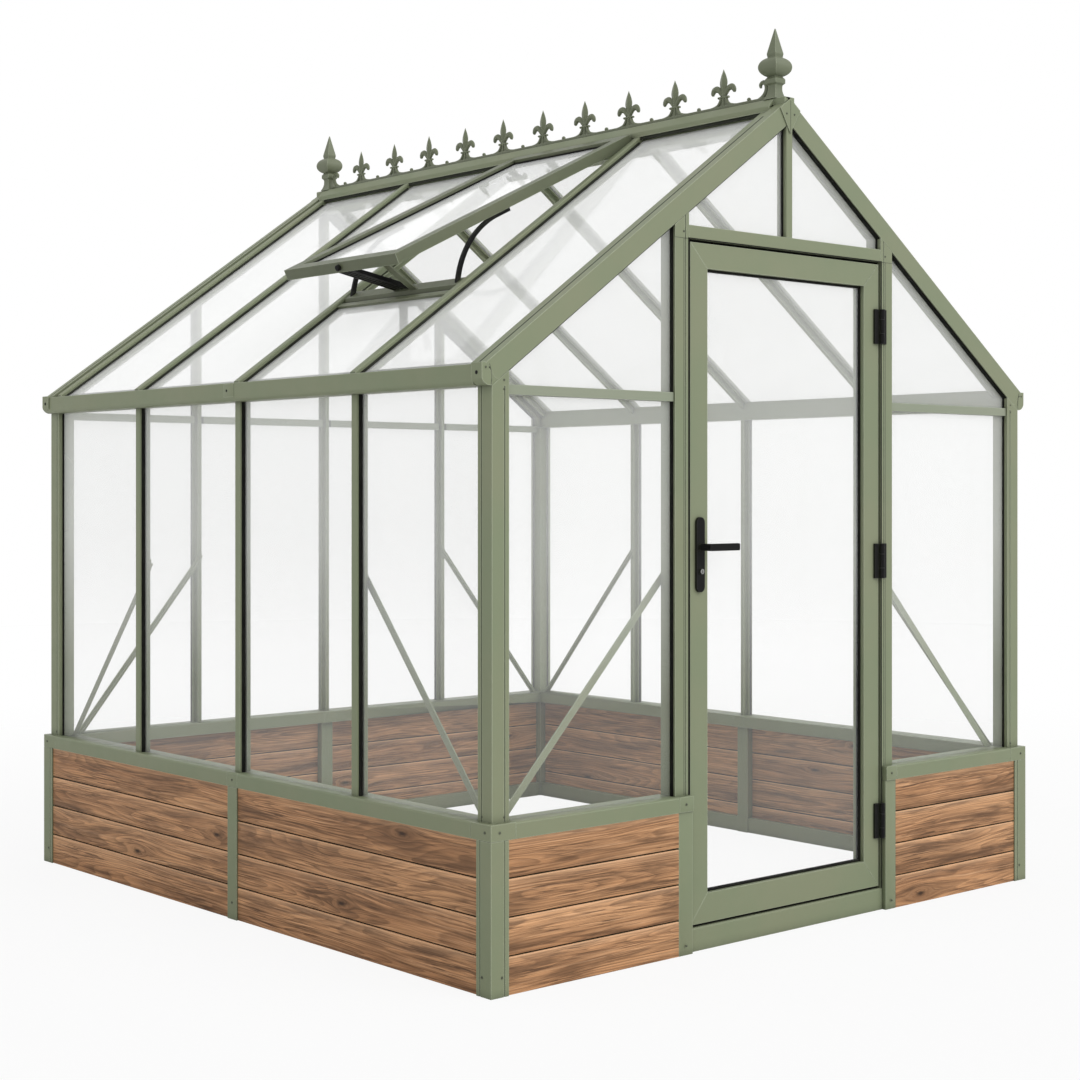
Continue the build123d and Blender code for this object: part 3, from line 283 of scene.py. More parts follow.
def plank_wall(node, seed):
    bm = bmesh.new()
    beds = bmesh.new()
    grain = bm.loops.layers.uv.new("grain")
    source = bmesh.new()
    source.from_mesh(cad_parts[node].data)
    bmesh.ops.remove_doubles(source, verts=source.verts, dist=1e-5)
    left = set(source.verts)
    runs = []
    while left:
        reach = [left.pop()]
        found = []
        while reach:
            v = reach.pop()
            found.append(v.co.copy())
            for e in v.link_edges:
                other = e.other_vert(v)
                if other in left:
                    left.remove(other)
                    reach.append(other)
        low = Vector([min(c[i] for c in found) for i in range(3)])
        high = Vector([max(c[i] for c in found) for i in range(3)])
        runs.append((low, high))
    source.free()
    runs.sort(key=lambda ends: [round(value, 2) for value in ends[0]])
    for run, (low, high) in enumerate(runs):
        along = 0 if high.x - low.x > high.y - low.y else 1
        plank_run(bm, beds, grain, low, high, along, seed + run)
    piece = mesh_piece("planks_" + node, bm, plank_film, "frame")
    mesh_piece("joint_beds_" + node, beds, plank_joint_shade, "frame")
    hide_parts(node)
    return piece


grain_tree, grain_in, grain_out = finish_group(
    "plank_grain",
    [("Pale", "Color"), ("Light", "Color"), ("Mid", "Color"), ("Dark", "Color")],
    [("Colour", "Color"), ("Roughness", "Float"), ("Height", "Float")],
)
grain_uv = fit(grain_tree, "UVMap", {}, uv_map="grain")["UV"]


def stretched(place, along, across):
    return fit(grain_tree, "Mapping", {"Vector": place, "Scale": (along, across, 1.0)})["Vector"]


def figure(place, along, across, detail, roughness, distortion=0.0):
    spread = {"Vector": stretched(place, along, across), "Scale": 1.0, "Detail": detail}
    spread.update({"Roughness": roughness, "Distortion": distortion})
    return fit(grain_tree, "TexNoise", spread)["Fac"]


grain_ends = fit(grain_tree, "SeparateXYZ", {0: grain_uv})
grain_drift = ranged(grain_tree, figure(grain_uv, 1.7, 9.0, 2.0, 0.5), 0.2, 0.8, -0.008, 0.008)
knot_field = stretched(grain_uv, 1.5, 5.2)
knot_cells = fit(grain_tree, "TexVoronoi", {"Vector": knot_field, "Scale": 1.0}, voronoi_dimensions="2D")
knot_chosen = fit(grain_tree, "SeparateXYZ", {0: knot_cells["Color"]})["X"]
knot_picked = ranged(grain_tree, knot_chosen, 0.52, 0.54)
knot_away = fit(grain_tree, "VectorMath", {0: knot_field, 1: knot_cells["Position"]}, operation="SUBTRACT")["Vector"]
knot_side = fit(grain_tree, "SeparateXYZ", {0: knot_away})["Y"]
knot_part = sums(grain_tree, "DIVIDE", knot_side, sums(grain_tree, "ADD", knot_cells["Distance"], 0.04))
knot_swell = sums(
    grain_tree, "MULTIPLY", ranged(grain_tree, knot_cells["Distance"], 0.42, 0.0, 0.0, 0.030), knot_picked,
)
grain_bend = sums(grain_tree, "SUBTRACT", grain_drift, sums(grain_tree, "MULTIPLY", knot_part, knot_swell))
grain_rise = sums(grain_tree, "ADD", grain_ends["Y"], grain_bend)
grain_flow = fit(grain_tree, "CombineXYZ", {0: grain_ends["X"], 1: grain_rise})[0]

grain_board = figure(grain_flow, 0.6, 9.0, 2.0, 0.5)
grain_streak = figure(grain_flow, 1.5, 165.0, 6.0, 0.74)
grain_hair = figure(grain_flow, 5.0, 520.0, 3.0, 0.6)
grain_smear = figure(grain_flow, 1.9, 30.0, 5.0, 0.68, 0.35)
grain_smudge = figure(grain_flow, 2.4, 11.0, 3.0, 0.6)
grain_sway = figure(grain_flow, 0.7, 10.0, 1.0, 0.4)
grain_rings = sums(grain_tree, "FRACT", sums(grain_tree, "MULTIPLY", grain_sway, 26.0), 0.0)
grain_band = sums(
    grain_tree, "MULTIPLY", ranged(grain_tree, grain_rings, 0.2, 0.9), ranged(grain_tree, grain_rings, 1.0, 0.93),
)
grain_crack = figure(grain_flow, 5.0, 210.0, 3.0, 0.62, 0.6)
grain_cluster = ranged(grain_tree, figure(grain_flow, 2.6, 15.0, 2.0, 0.5), 0.40, 0.58)
knot_eye = sums(grain_tree, "MULTIPLY", ranged(grain_tree, knot_cells["Distance"], 0.045, 0.012), knot_picked)
knot_halo = sums(
    grain_tree, "MULTIPLY", ranged(grain_tree, knot_cells["Distance"], 0.22, 0.03, 0.0, 0.45), knot_picked,
)

grain_tone = blended(grain_tree, ranged(grain_tree, grain_board, 0.36, 0.64), grain_in["Light"], grain_in["Mid"])
grain_lit = blended(grain_tree, ranged(grain_tree, grain_streak, 0.46, 0.30, 0.0, 0.80), grain_tone, grain_in["Pale"])
grain_drawn = blended(
    grain_tree, ranged(grain_tree, grain_streak, 0.50, 0.72, 0.0, 0.85), grain_lit, grain_in["Dark"],
)
grain_lines = sums(grain_tree, "MULTIPLY", grain_band, ranged(grain_tree, grain_streak, 0.30, 0.60, 0.20, 0.60))
grain_lined = blended(grain_tree, grain_lines, grain_drawn, grain_in["Dark"])
grain_shade = ranged(grain_tree, grain_smear, 0.50, 0.64, 0.0, 0.78)
grain_stained = blended(grain_tree, grain_shade, grain_lined, grain_in["Dark"])
grain_soiled = blended(
    grain_tree, ranged(grain_tree, grain_smudge, 0.50, 0.68, 0.0, 0.55), grain_stained, grain_in["Dark"],
)
grain_haired = blended(
    grain_tree, ranged(grain_tree, grain_hair, 0.50, 0.70, 0.0, 0.55), grain_soiled, grain_in["Dark"],
)
grain_split = sums(grain_tree, "MULTIPLY", ranged(grain_tree, grain_crack, 0.54, 0.61, 0.0, 0.90), grain_cluster)
grain_cracked = blended(grain_tree, grain_split, grain_haired, grain_in["Dark"])
grain_ringed = blended(grain_tree, knot_halo, grain_cracked, grain_in["Dark"])
grain_eyed = blended(grain_tree, knot_eye, grain_ringed, (0.040, 0.019, 0.009, 1.0))
# Painted highlight: the upward-facing arrises of each board are lightened towards Pale through a bevel-normal mask.
grain_arris_highlight = fit(
    grain_tree, "SeparateXYZ", {0: fit(grain_tree, "Bevel", {"Radius": 0.0045}, samples=4)["Normal"]},
)["Z"]
grain_colour = blended(
    grain_tree, ranged(grain_tree, grain_arris_highlight, 0.12, 0.45, 0.0, 0.85), grain_eyed, grain_in["Pale"],
)
grain_tree.links.new(grain_colour, grain_out["Colour"])
grain_tree.links.new(ranged(grain_tree, grain_streak, 0.3, 0.7, 0.45, 0.65), grain_out["Roughness"])
grain_tree.links.new(
    sums(grain_tree, "MULTIPLY", sums(grain_tree, "ADD", grain_lines, grain_split), -1.0), grain_out["Height"],
)

plank_film = bpy.data.materials.new("plank_grain_film")
plank_film.use_nodes = True
film_tree = plank_film.node_tree
film_layer = film_tree.nodes.new("ShaderNodeGroup")
film_layer.node_tree = grain_tree
film_layer.inputs["Pale"].default_value = (0.880, 0.550, 0.320, 1.0)
film_layer.inputs["Light"].default_value = (0.690, 0.370, 0.178, 1.0)
film_layer.inputs["Mid"].default_value = (0.520, 0.262, 0.120, 1.0)
film_layer.inputs["Dark"].default_value = (0.105, 0.052, 0.025, 1.0)
film_shader = film_tree.nodes["Principled BSDF"]
film_shader.inputs["Specular IOR Level"].default_value = 0.3
film_tree.links.new(film_layer.outputs["Colour"], film_shader.inputs["Base Color"])
film_tree.links.new(film_layer.outputs["Roughness"], film_shader.inputs["Roughness"])
film_relief = fit(film_tree, "Bump", {"Strength": 0.25, "Distance": 0.0006, "Height": film_layer.outputs["Height"]})
film_tree.links.new(film_relief["Normal"], film_shader.inputs["Normal"])

plank_joint_shade = coated(
    "plank_joint_shade", (0.006, 0.004, 0.003, 1.0), (0.010, 0.007, 0.005, 1.0), (0.03, 0.02, 0.015, 1.0), 0.2, 0.04,
)
plank_wall("side_base_panels", 11)
plank_wall("gable_base_panels", 51)


# Upper frame: corner posts, glazing bars, transoms and the king post that hold the panes.
# The same coated extrusions, with a cap outside, a thin web between the panes and a flange inside.
for upright_node in ("corner_posts", "wall_bars", "back_gable_bars", "king_post"):
    eased(upright_node, 0.0018, sage_coat)
transom_coat = coated(
    "pale_transom_coat", (0.262, 0.295, 0.215, 1.0), (0.275, 0.300, 0.222, 1.0), sage_coat_highlight, 0.45,
)
eased("transoms", 0.0018, transom_coat)
eased("wall_braces", 0.0012, sage_coat)

post_screws = []
for side in (-1, 1):
    for end in (-1, 1):
        for lift in (1.703, 1.678, 0.492):
            post_screws.append(((side * 1.186, end * 1.300, lift), (0, end, 0), 0.0030))
        post_screws.append(((side * 1.230, end * 1.256, 0.492), (side, 0, 0), 0.0030))
screws("post_screws", post_screws, screw_coat)


# Roof frame: gable boards, apex plates, eaves beams, roof bars and the ridge with its bevelled cap.
# Coated extrusions bolted at the eaves and the ridge, the boards cut to a plumb nose at the foot.
for roof_node in ("left_rafters", "right_rafters", "ridge_cap"):
    eased(roof_node, 0.0030, sage_coat)
for joint_node in ("apex_plates", "ridge_beam"):
    eased(joint_node, 0.0015, sage_coat)
rafter_feet = bmesh.new()
for side in (-1, 1):
    for end in (-1, 1):
        corners = [sorted((side * 1.196, side * 1.2305)), sorted((end * 1.2535, end * 1.2992)), (1.6880, 1.7420)]
        flat_plate(rafter_feet, [c[0] for c in corners], [c[1] for c in corners], 0.0005)
mesh_piece("rafter_foot_packers", rafter_feet, sage_coat, "frame")
for bar_node in ("eaves_beams", "roof_bars"):
    eased(bar_node, 0.0015, sage_coat)
eased("gutters", 0.0012, sage_coat)

gutter_end_face = 1.2662
gutter_ends = eased("gutter_brackets", 0.0012, sage_coat)
for corner in gutter_ends.data.vertices:
    corner.co.x = max(-gutter_end_face, min(gutter_end_face, corner.co.x))

black_coat = coated(
    "satin_black_coat", (0.005, 0.005, 0.005, 1.0), (0.008, 0.008, 0.008, 1.0), (0.06, 0.06, 0.06, 1.0), 0.5, 0.10,
)
gutter_bolts = []
rafter_rivets = []
for side in (-1, 1):
    gutter_bolts.append(((side * 1.2634, 0.012, 1.722), (side, 0, 0), 0.0042))
    for end in (-1, 1):
        gutter_bolts.append(((side * gutter_end_face, end * 1.2765, 1.722), (side, 0, 0), 0.0055))
        for reach in (1.238, 1.252):
            rafter_rivets.append(((side * reach, end * 1.300, 1.736), (0, end, 0), 0.0030))
        rafter_rivets.append(((side * 0.018, end * 1.304, 2.592), (0, end, 0), 0.0032))
screws("gutter_bolts", gutter_bolts, black_coat, rise=0.30)
screws("rafter_rivets", rafter_rivets, screw_coat)


gutter_covers = bmesh.new()
for side in (-1, 1):
    near, far = sorted((side * 1.2605, side * 1.2634))
    flat_plate(gutter_covers, (near, -0.030, 1.7005), (far, 0.030, 1.7440), 0.0006)
mesh_piece("gutter_covers", gutter_covers, sage_coat, "frame")

seam_shade = coated(
    "seam_shade", (0.030, 0.034, 0.022, 1.0), (0.040, 0.044, 0.030, 1.0), (0.06, 0.07, 0.05, 1.0), 0.2,
)
seams = bmesh.new()
for end in (-1, 1):
    near, far = sorted((end * 1.3030, end * 1.3044))
    flat_plate(seams, (-0.0006, near, 2.530), (0.0006, far, 2.636), 0.0001)
mesh_piece("apex_seams", seams, seam_shade, "frame")


def flat_bar(bm, start, end, across, width, depth, arris):
    run = Vector(end) - Vector(start)
    out = run.cross(Vector(across)).normalized()
    made = bmesh.ops.create_cube(bm, size=1.0)["verts"]
    for v in made:
        v.co = Vector(start) + run * (v.co.x + 0.5) + Vector(across) * width * v.co.y + out * depth * v.co.z
    edges = list(dict.fromkeys(e for v in made for e in v.link_edges))
    bmesh.ops.bevel(bm, geom=edges, offset=arris, segments=2, profile=0.6, affect="EDGES")


gutter_seams = bmesh.new()
gutter_seam_bow = ((1.2385, 1.7460), (1.2340, 1.7320), (1.2315, 1.7170), (1.2312, 1.7020), (1.2330, 1.6890))
for side in (-1, 1):
    for end in (-1, 1):
        for (x0, z0), (x1, z1) in zip(gutter_seam_bow, gutter_seam_bow[1:]):
            flat_bar(
                gutter_seams, (side * x0, end * 1.2998, z0), (side * x1, end * 1.2998, z1), (0, 1, 0), 0.0012, 0.0010,
                0.0002,
            )
mesh_piece("gutter_end_seams", gutter_seams, seam_shade, "frame")


# Glazing rubber: black strips that hold the panes in the bars, posts and rails, and seal the ridge.
# Extruded rubber with a sloping lip, pushed in from outside between the pane and the cap of the bar.
rubber_tree, rubber_in, rubber_out = finish_group(
    "rubber_bloom",
    [("Black", "Color"), ("Bloom", "Color")],
    [("Colour", "Color"), ("Roughness", "Float"), ("Height", "Float")],
)
rubber_place = fit(rubber_tree, "TexCoord", {})["Object"]
rubber_cloud = fit(
    rubber_tree, "TexNoise", {"Vector": rubber_place, "Scale": 9.0, "Detail": 5.0, "Roughness": 0.65},
)["Fac"]
rubber_grain = fit(rubber_tree, "TexNoise", {"Vector": rubber_place, "Scale": 900.0, "Detail": 2.0})["Fac"]
rubber_tone = blended(
    rubber_tree, ranged(rubber_tree, rubber_cloud, 0.42, 0.72), rubber_in["Black"], rubber_in["Bloom"],
)
rubber_tree.links.new(rubber_tone, rubber_out["Colour"])
rubber_tree.links.new(ranged(rubber_tree, rubber_cloud, 0.3, 0.7, 0.55, 0.75), rubber_out["Roughness"])
rubber_tree.links.new(rubber_grain, rubber_out["Height"])


def rubber(name, black, bloom):
    material = bpy.data.materials.new(name)
    material.use_nodes = True
    tree = material.node_tree
    layer = tree.nodes.new("ShaderNodeGroup")
    layer.node_tree = rubber_tree
    layer.inputs["Black"].default_value = black
    layer.inputs["Bloom"].default_value = bloom
    shader = tree.nodes["Principled BSDF"]
    shader.inputs["Specular IOR Level"].default_value = 0.08
    tree.links.new(layer.outputs["Colour"], shader.inputs["Base Color"])
    tree.links.new(layer.outputs["Roughness"], shader.inputs["Roughness"])
    skin = fit(tree, "Bump", {"Strength": 0.1, "Distance": 0.0003, "Height": layer.outputs["Height"]})
    tree.links.new(skin["Normal"], shader.inputs["Normal"])
    return material


glazing_rubber = rubber("black_glazing_rubber", (0.007, 0.007, 0.006, 1.0), (0.017, 0.018, 0.014, 1.0))
# The roof rubber is a paler, greener copy of the black glazing rubber.
paler_rubber = rubber("paler_roof_rubber", (0.024, 0.026, 0.019, 1.0), (0.046, 0.050, 0.038, 1.0))


def rubber_strip(bm, start, end, side, out, width, height):
    lip = ((0.0, 0.0), (1.0, 0.0), (1.0, 0.6), (0.55, 1.0), (0.0, 1.0))
    ends = []
    for place in (start, end):
        ends.append([bm.verts.new(Vector(place) + Vector(side) * width * a + Vector(out) * height * b) for a, b in lip])
    faces = [bm.faces.new(ends[0]), bm.faces.new(ends[1])]
    for step in range(len(lip)):
        after = (step + 1) % len(lip)
        faces.append(bm.faces.new((ends[0][step], ends[0][after], ends[1][after], ends[1][step])))
    bmesh.ops.recalc_face_normals(bm, faces=faces)


def rubber_round(bm, corners, out, width, height):
    middle = sum((Vector(c) for c in corners), Vector()) / len(corners)
    for step in range(len(corners)):
        start = Vector(corners[step])
        end = Vector(corners[(step + 1) % len(corners)])
        run = (end - start).normalized()
        inward = middle - start
        inward = (inward - run * inward.dot(run)).normalized()
        rubber_strip(bm, start, end, inward, out, width, height)


def rubber_piece(name, bm, body="frame", material=glazing_rubber):
    return mesh_piece(name, bm, material, body)


bar_side = 0.015
bar_rubber = (0.0035, 0.012)
edge_rubber = (0.0035, 0.006)
bay_edges = ((-1.215, -0.665), (-0.635, -0.015), (0.015, 0.635), (0.665, 1.215))
pane_foot = 0.478
wall_rubber = bmesh.new()
for side in (-1, 1):
    face = side * 1.210
    for bar in (-0.650, 0.0, 0.650):
        for turn in (-1, 1):
            edge = bar + turn * bar_side
            rubber_strip(
                wall_rubber, (face, edge, pane_foot), (face, edge, 1.6864), (0, turn, 0), (side, 0, 0), *bar_rubber,
            )
    for end in (-1, 1):
        edge = end * 1.238
        rubber_strip(
            wall_rubber, (face, edge, pane_foot), (face, edge, 1.6864), (0, -end, 0), (side, 0, 0), *edge_rubber,
        )
rubber_piece("wall_glazing_rubber", wall_rubber)

gable_rubber = bmesh.new()


def under_rafter(x):
    return 1.730 + (1.168 - x) * 0.7133


gable_bays = ((-1, 0.515, 1.168), (-1, 0.015, 0.455), (1, 0.015, 0.600), (1, 0.630, 1.168))
for side in (-1, 1):
    for end, near, far in gable_bays:
        face = end * 1.280
        foot = 2.200 if far < 0.5 else pane_foot
        for edge, turn in ((near, 1), (far, -1)):
            upright = ((side * edge, face, foot), (side * edge, face, under_rafter(edge)))
            lip = bar_rubber if 0.5 < edge < 1.0 else edge_rubber
            rubber_strip(gable_rubber, *upright, (side * turn, 0, 0), (0, end, 0), *lip)
        slope = ((side * near, face, under_rafter(near)), (side * far, face, under_rafter(far)))
        rubber_strip(gable_rubber, *slope, (-side * 0.5807, 0, -0.8141), (0, end, 0), 0.0040, 0.016)
rubber_piece("gable_glazing_rubber", gable_rubber)

roof_rubber = bmesh.new()
roof_lip = (0.0030, 0.008)
roof_foot = 1.234
vent_sill_foot = 0.815


def on_roof(side, reach, y):
    return (side * reach, y, 2.5902 - (reach - 0.0283) * 0.7133)


for side in (-1, 1):
    up = (side * 0.5807, 0, 0.8141)
    down = (side * 0.8141, 0, -0.5807)
    for first, last in bay_edges:
        vented = side < 0 and first == -0.635
        top = vent_sill_foot if vented else 0.046
        for edge, turn in ((first, 1), (last, -1)):
            rubber_strip(
                roof_rubber, on_roof(side, top, edge), on_roof(side, 1.230, edge), (0, turn, 0), up, *roof_lip,
            )
        if not vented:
            rubber_strip(
                roof_rubber, (side * 0.040, first, 2.5925), (side * 0.040, last, 2.5925), (side, 0, 0), (0, 0, 1),
                0.004, 0.0092,
            )
    for end in (-1, 1):
        high = [Vector(on_roof(side, reach, end * 1.2660)) + Vector(up) * 0.0254 for reach in (0.075, 1.238)]
        rubber_strip(roof_rubber, *high, (0, end, 0), up, 0.0055, 0.0010)
        edge = end * 1.2455
        rubber_strip(
            roof_rubber, on_roof(side, 0.046, edge), on_roof(side, 1.228, edge), (0, end, 0), up, 0.0070, 0.014,
        )
    for bar in (-1.230, -0.650, 0.0, 0.650, 1.230):
        rubber_strip(
            roof_rubber, on_roof(side, roof_foot, bar - bar_side), on_roof(side, roof_foot, bar + bar_side),
            down, up, 0.0035, 0.0195,
        )
rubber_piece("roof_glazing_rubber", roof_rubber, material=paler_rubber)


# Ridge cresting and finials: a row of lily heads on a strip with ball beads between two square finials.
# Cast aluminium with rounded arrises, coated with the frame's paint, here drawn as a darker copy of the coat with
# painted shade, and screwed along the ridge cap.
# A darker copy of the sage coat: painted shade on the same paint, used on the finials, the cresting and the vent strap
# and apron.
shaded_sage_coat = coated(
    "shaded_sage_coat", (0.140, 0.163, 0.096, 1.0), (0.152, 0.168, 0.101, 1.0), (0.430, 0.470, 0.350, 1.0), 0.6, 0.5,
)
eased("finials", 0.0030, shaded_sage_coat)

ridge_top = 2.6474
lily_pitch = 0.22509
lily_height = 0.128
strip_height = 0.014
strip_half_length = 1.2100


def cast_limb(bm, stations, sides, place, mirrored=1.0, steps=4):
    smooth = []
    last = len(stations) - 1
    for i in range(last):
        knots = [stations[max(0, min(last, k))] for k in (i - 1, i, i + 1, i + 2)]
        for step in range(steps + (i == last - 1)):
            t = step / steps
            smooth.append([
                0.5 * (2 * b + (c - a) * t + (2 * a - 5 * b + 4 * c - d) * t * t + (3 * b - a - 3 * c + d) * t ** 3)
                for a, b, c, d in zip(*knots)
            ])
    rings = []
    for i, (u, w, half_width, half_depth) in enumerate(smooth):
        before = smooth[max(i - 1, 0)]
        after = smooth[min(i + 1, len(smooth) - 1)]
        run = Vector((after[0] - before[0], after[1] - before[1])).normalized()
        ring = []
        for k in range(sides):
            angle = 2.0 * math.pi * k / sides
            breadth = math.cos(angle) * max(half_width, 0.0002)
            depth = math.sin(angle) * max(half_depth, 0.0002)
            ring.append(bm.verts.new((
                depth, place[0] + mirrored * (u - run.y * breadth), place[1] + w + run.x * breadth,
            )))
        rings.append(ring)
    faces = [bm.faces.new(rings[0]), bm.faces.new(rings[-1])]
    for lower, upper in zip(rings, rings[1:]):
        for k in range(sides):
            after = (k + 1) % sides
            faces.append(bm.faces.new((lower[k], lower[after], upper[after], upper[k])))
    bmesh.ops.recalc_face_normals(bm, faces=faces)


lily_leaf = (
    (0.0, 0.033, 0.0092, 0.0060), (0.0, 0.056, 0.0116, 0.0076), (0.0, 0.082, 0.0176, 0.0094),
    (0.0, 0.104, 0.0122, 0.0070), (0.0, 0.119, 0.0048, 0.0034), (0.0, 0.1278, 0.0004, 0.0004),
)
lily_petal = (
    (0.0085, 0.0400, 0.0044, 0.0050), (0.0100, 0.0462, 0.0070, 0.0062), (0.0205, 0.0610, 0.0098, 0.0074),
    (0.0325, 0.0660, 0.0108, 0.0080), (0.0425, 0.0625, 0.0102, 0.0076), (0.0476, 0.0525, 0.0076, 0.0064),
    (0.0472, 0.0462, 0.0034, 0.0044),
)
lily_stem = (
    (0.0112, 0.033, 0.0050, 0.0058), (0.0148, 0.022, 0.0056, 0.0060), (0.0250, 0.010, 0.0060, 0.0060),
    (0.0420, 0.0050, 0.0054, 0.0056), (0.0560, 0.0044, 0.0042, 0.0048),
)
lily_bell = (
    (0.0, -0.004, 0.0460, 0.0012), (0.0, 0.003, 0.0280, 0.0012), (0.0, 0.012, 0.0180, 0.0012),
    (0.0, 0.022, 0.0140, 0.0012), (0.0, 0.034, 0.0120, 0.0012),
)
lily_middle = ((0.0, -0.002, 0.0066, 0.0062), (0.0, 0.014, 0.0056, 0.0060), (0.0, 0.034, 0.0050, 0.0056))
lily_band = (
    (-0.0230, 0.035, 0.0022, 0.0050), (-0.0205, 0.035, 0.0042, 0.0066), (0.0, 0.035, 0.0046, 0.0072),
    (0.0205, 0.035, 0.0042, 0.0066), (0.0230, 0.035, 0.0022, 0.0050),
)
finial_scroll = (
    (0.0900, 0.0060, 0.0058, 0.0046), (0.0660, 0.0110, 0.0070, 0.0050), (0.0460, 0.0225, 0.0078, 0.0052),
    (0.0370, 0.0390, 0.0076, 0.0052), (0.0390, 0.0560, 0.0074, 0.0056), (0.0500, 0.0640, 0.0074, 0.0058),
    (0.0610, 0.0580, 0.0066, 0.0056), (0.0608, 0.0470, 0.0036, 0.0046),
)
cresting = bmesh.new()
flat_plate(
    cresting, (-0.005, -strip_half_length, ridge_top), (0.005, strip_half_length, ridge_top + strip_height), 0.0016,
)
for step in range(1, 11):
    place = (step * lily_pitch - 1.238, ridge_top + strip_height / 2)
    cast_limb(cresting, lily_leaf, 4, place)
    cast_limb(cresting, lily_middle, 8, place)
    cast_limb(cresting, lily_bell, 8, place)
    cast_limb(cresting, lily_band, 8, place)
    for mirrored in (-1.0, 1.0):
        cast_limb(cresting, lily_petal, 8, place, mirrored)
        cast_limb(cresting, lily_stem, 8, place, mirrored)
for step in range(11):
    bead = bmesh.ops.create_uvsphere(cresting, u_segments=16, v_segments=10, radius=0.007)["verts"]
    for v in bead:
        v.co += Vector((0.0, (step + 0.5) * lily_pitch - 1.238, ridge_top + strip_height + 0.0035))
for end in (-1.0, 1.0):
    cast_limb(cresting, finial_scroll, 8, (end * 1.238, ridge_top), -end)
cresting_piece = mesh_piece("cast_cresting", cresting, shaded_sage_coat, "frame", smooth_angle=48)
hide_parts("ridge_cresting")


# Roof vent: a mitred box frame hinged at the ridge cap, propped above its sill on two stays and links.
# Coated box section with the pane let in, black steel arms and slats, a green strap and an opener tube.
# Painted shade: the vent rails, sill and opener tube take a darker copy of the sage coat, though they are the same
# paint as the frame.
vent_shaded_coat = coated(
    "vent_shaded_sage_coat", (0.112, 0.130, 0.075, 1.0), (0.126, 0.140, 0.082, 1.0), (0.420, 0.460, 0.340, 1.0), 0.6, 0.4,
)
for vent_node in ("vent_end_rails", "vent_side_rails", "vent_sill", "vent_opener_tube"):
    eased(vent_node, 0.0026, vent_shaded_coat)
eased("vent_opener_arms", 0.0008, black_coat)

vent_hinge = Vector((-0.0360, 0.0, 2.6016))
vent_down = Vector((-0.8988, 0.0, -0.4384))
vent_up = Vector((-0.4384, 0.0, 0.8988))
vent_under = -0.0135
sill_up = Vector((-0.5807, 0.0, 0.8141))
sill_down = Vector((-0.8141, 0.0, -0.5807))

vent_pane_face = [v.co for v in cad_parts["vent_glass"].data.vertices]
vent_pane_top = max(spot.dot(vent_up) for spot in vent_pane_face)
vent_pane_low = min(spot.dot(vent_up) for spot in vent_pane_face)
vent_reach = [(spot - vent_hinge).dot(vent_down) for spot in vent_pane_face]
vent_sides = [spot.y for spot in vent_pane_face]
vent_rubber = bmesh.new()
for level, out in ((vent_pane_top, vent_up), (vent_pane_low, -vent_up)):
    seat = vent_hinge + vent_up * (level - vent_hinge.dot(vent_up))
    corners = []
    for reach, y in ((min, min), (max, min), (max, max), (min, max)):
        corner = seat + vent_down * reach(vent_reach)
        corners.append((corner.x, y(vent_sides), corner.z))
    rubber_round(vent_rubber, corners, out, 0.006, 0.005)
sill_groove = (-0.8155, 2.5902 - (0.8155 - 0.0283) * 0.7133)
rubber_strip(
    vent_rubber, (sill_groove[0], -0.634, sill_groove[1]), (sill_groove[0], -0.016, sill_groove[1]),
    sill_down, sill_up, 0.0060, 0.0070,
)
rubber_piece("vent_glazing_rubber", vent_rubber)


def vent_spot(reach, y, lift):
    spot = vent_hinge + vent_down * reach + vent_up * (vent_under + lift)
    return Vector((spot.x, y, spot.z))


def sill_spot(reach, y, lift):
    spot = Vector(on_roof(-1, reach, 0.0)) + sill_up * lift
    return Vector((spot.x, y, spot.z))


vent_strap = bmesh.new()
flat_bar(
    vent_strap, sill_spot(0.802, -0.402, 0.013), vent_spot(1.030, -0.402, 0.003), (0, 1, 0), 0.034, 0.004, 0.0008,
)
flat_bar(
    vent_strap, sill_spot(0.831, -0.634, 0.005), sill_spot(0.831, -0.016, 0.005), sill_down, 0.022, 0.010, 0.0015,
)
mesh_piece("vent_strap_and_apron", vent_strap, shaded_sage_coat, "frame")

vent_slats = bmesh.new()
arm_spots = [v.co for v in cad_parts["vent_opener_arms"].data.vertices if abs(v.co.y + 0.361) < 0.006]
arm_spots.sort(key=lambda spot: spot.z)
arm_half = len(arm_spots) // 2
arm_foot = sum(arm_spots[:arm_half], Vector()) / arm_half
arm_head = sum(arm_spots[arm_half:], Vector()) / (len(arm_spots) - arm_half)
for y in (-0.345, -0.325, -0.305):
    flat_bar(vent_slats, (arm_foot.x, y, arm_foot.z), (arm_head.x, y, arm_head.z), (0, 1, 0), 0.006, 0.012, 0.0008)
mesh_piece("vent_slats", vent_slats, black_coat, "frame")


# Door set: posts, head and sill of the opening, and the mitred leaf that turns in it.
# Coated box sections mitred at the corners; black seals with a thin lip close the gap round the leaf.
for opening_node in ("door_posts", "door_head", "door_sill"):
    eased(opening_node, 0.0018, sage_coat)
for leaf_node in ("door_stiles", "door_rails"):
    eased(leaf_node, 0.0018, sage_coat, body="door")

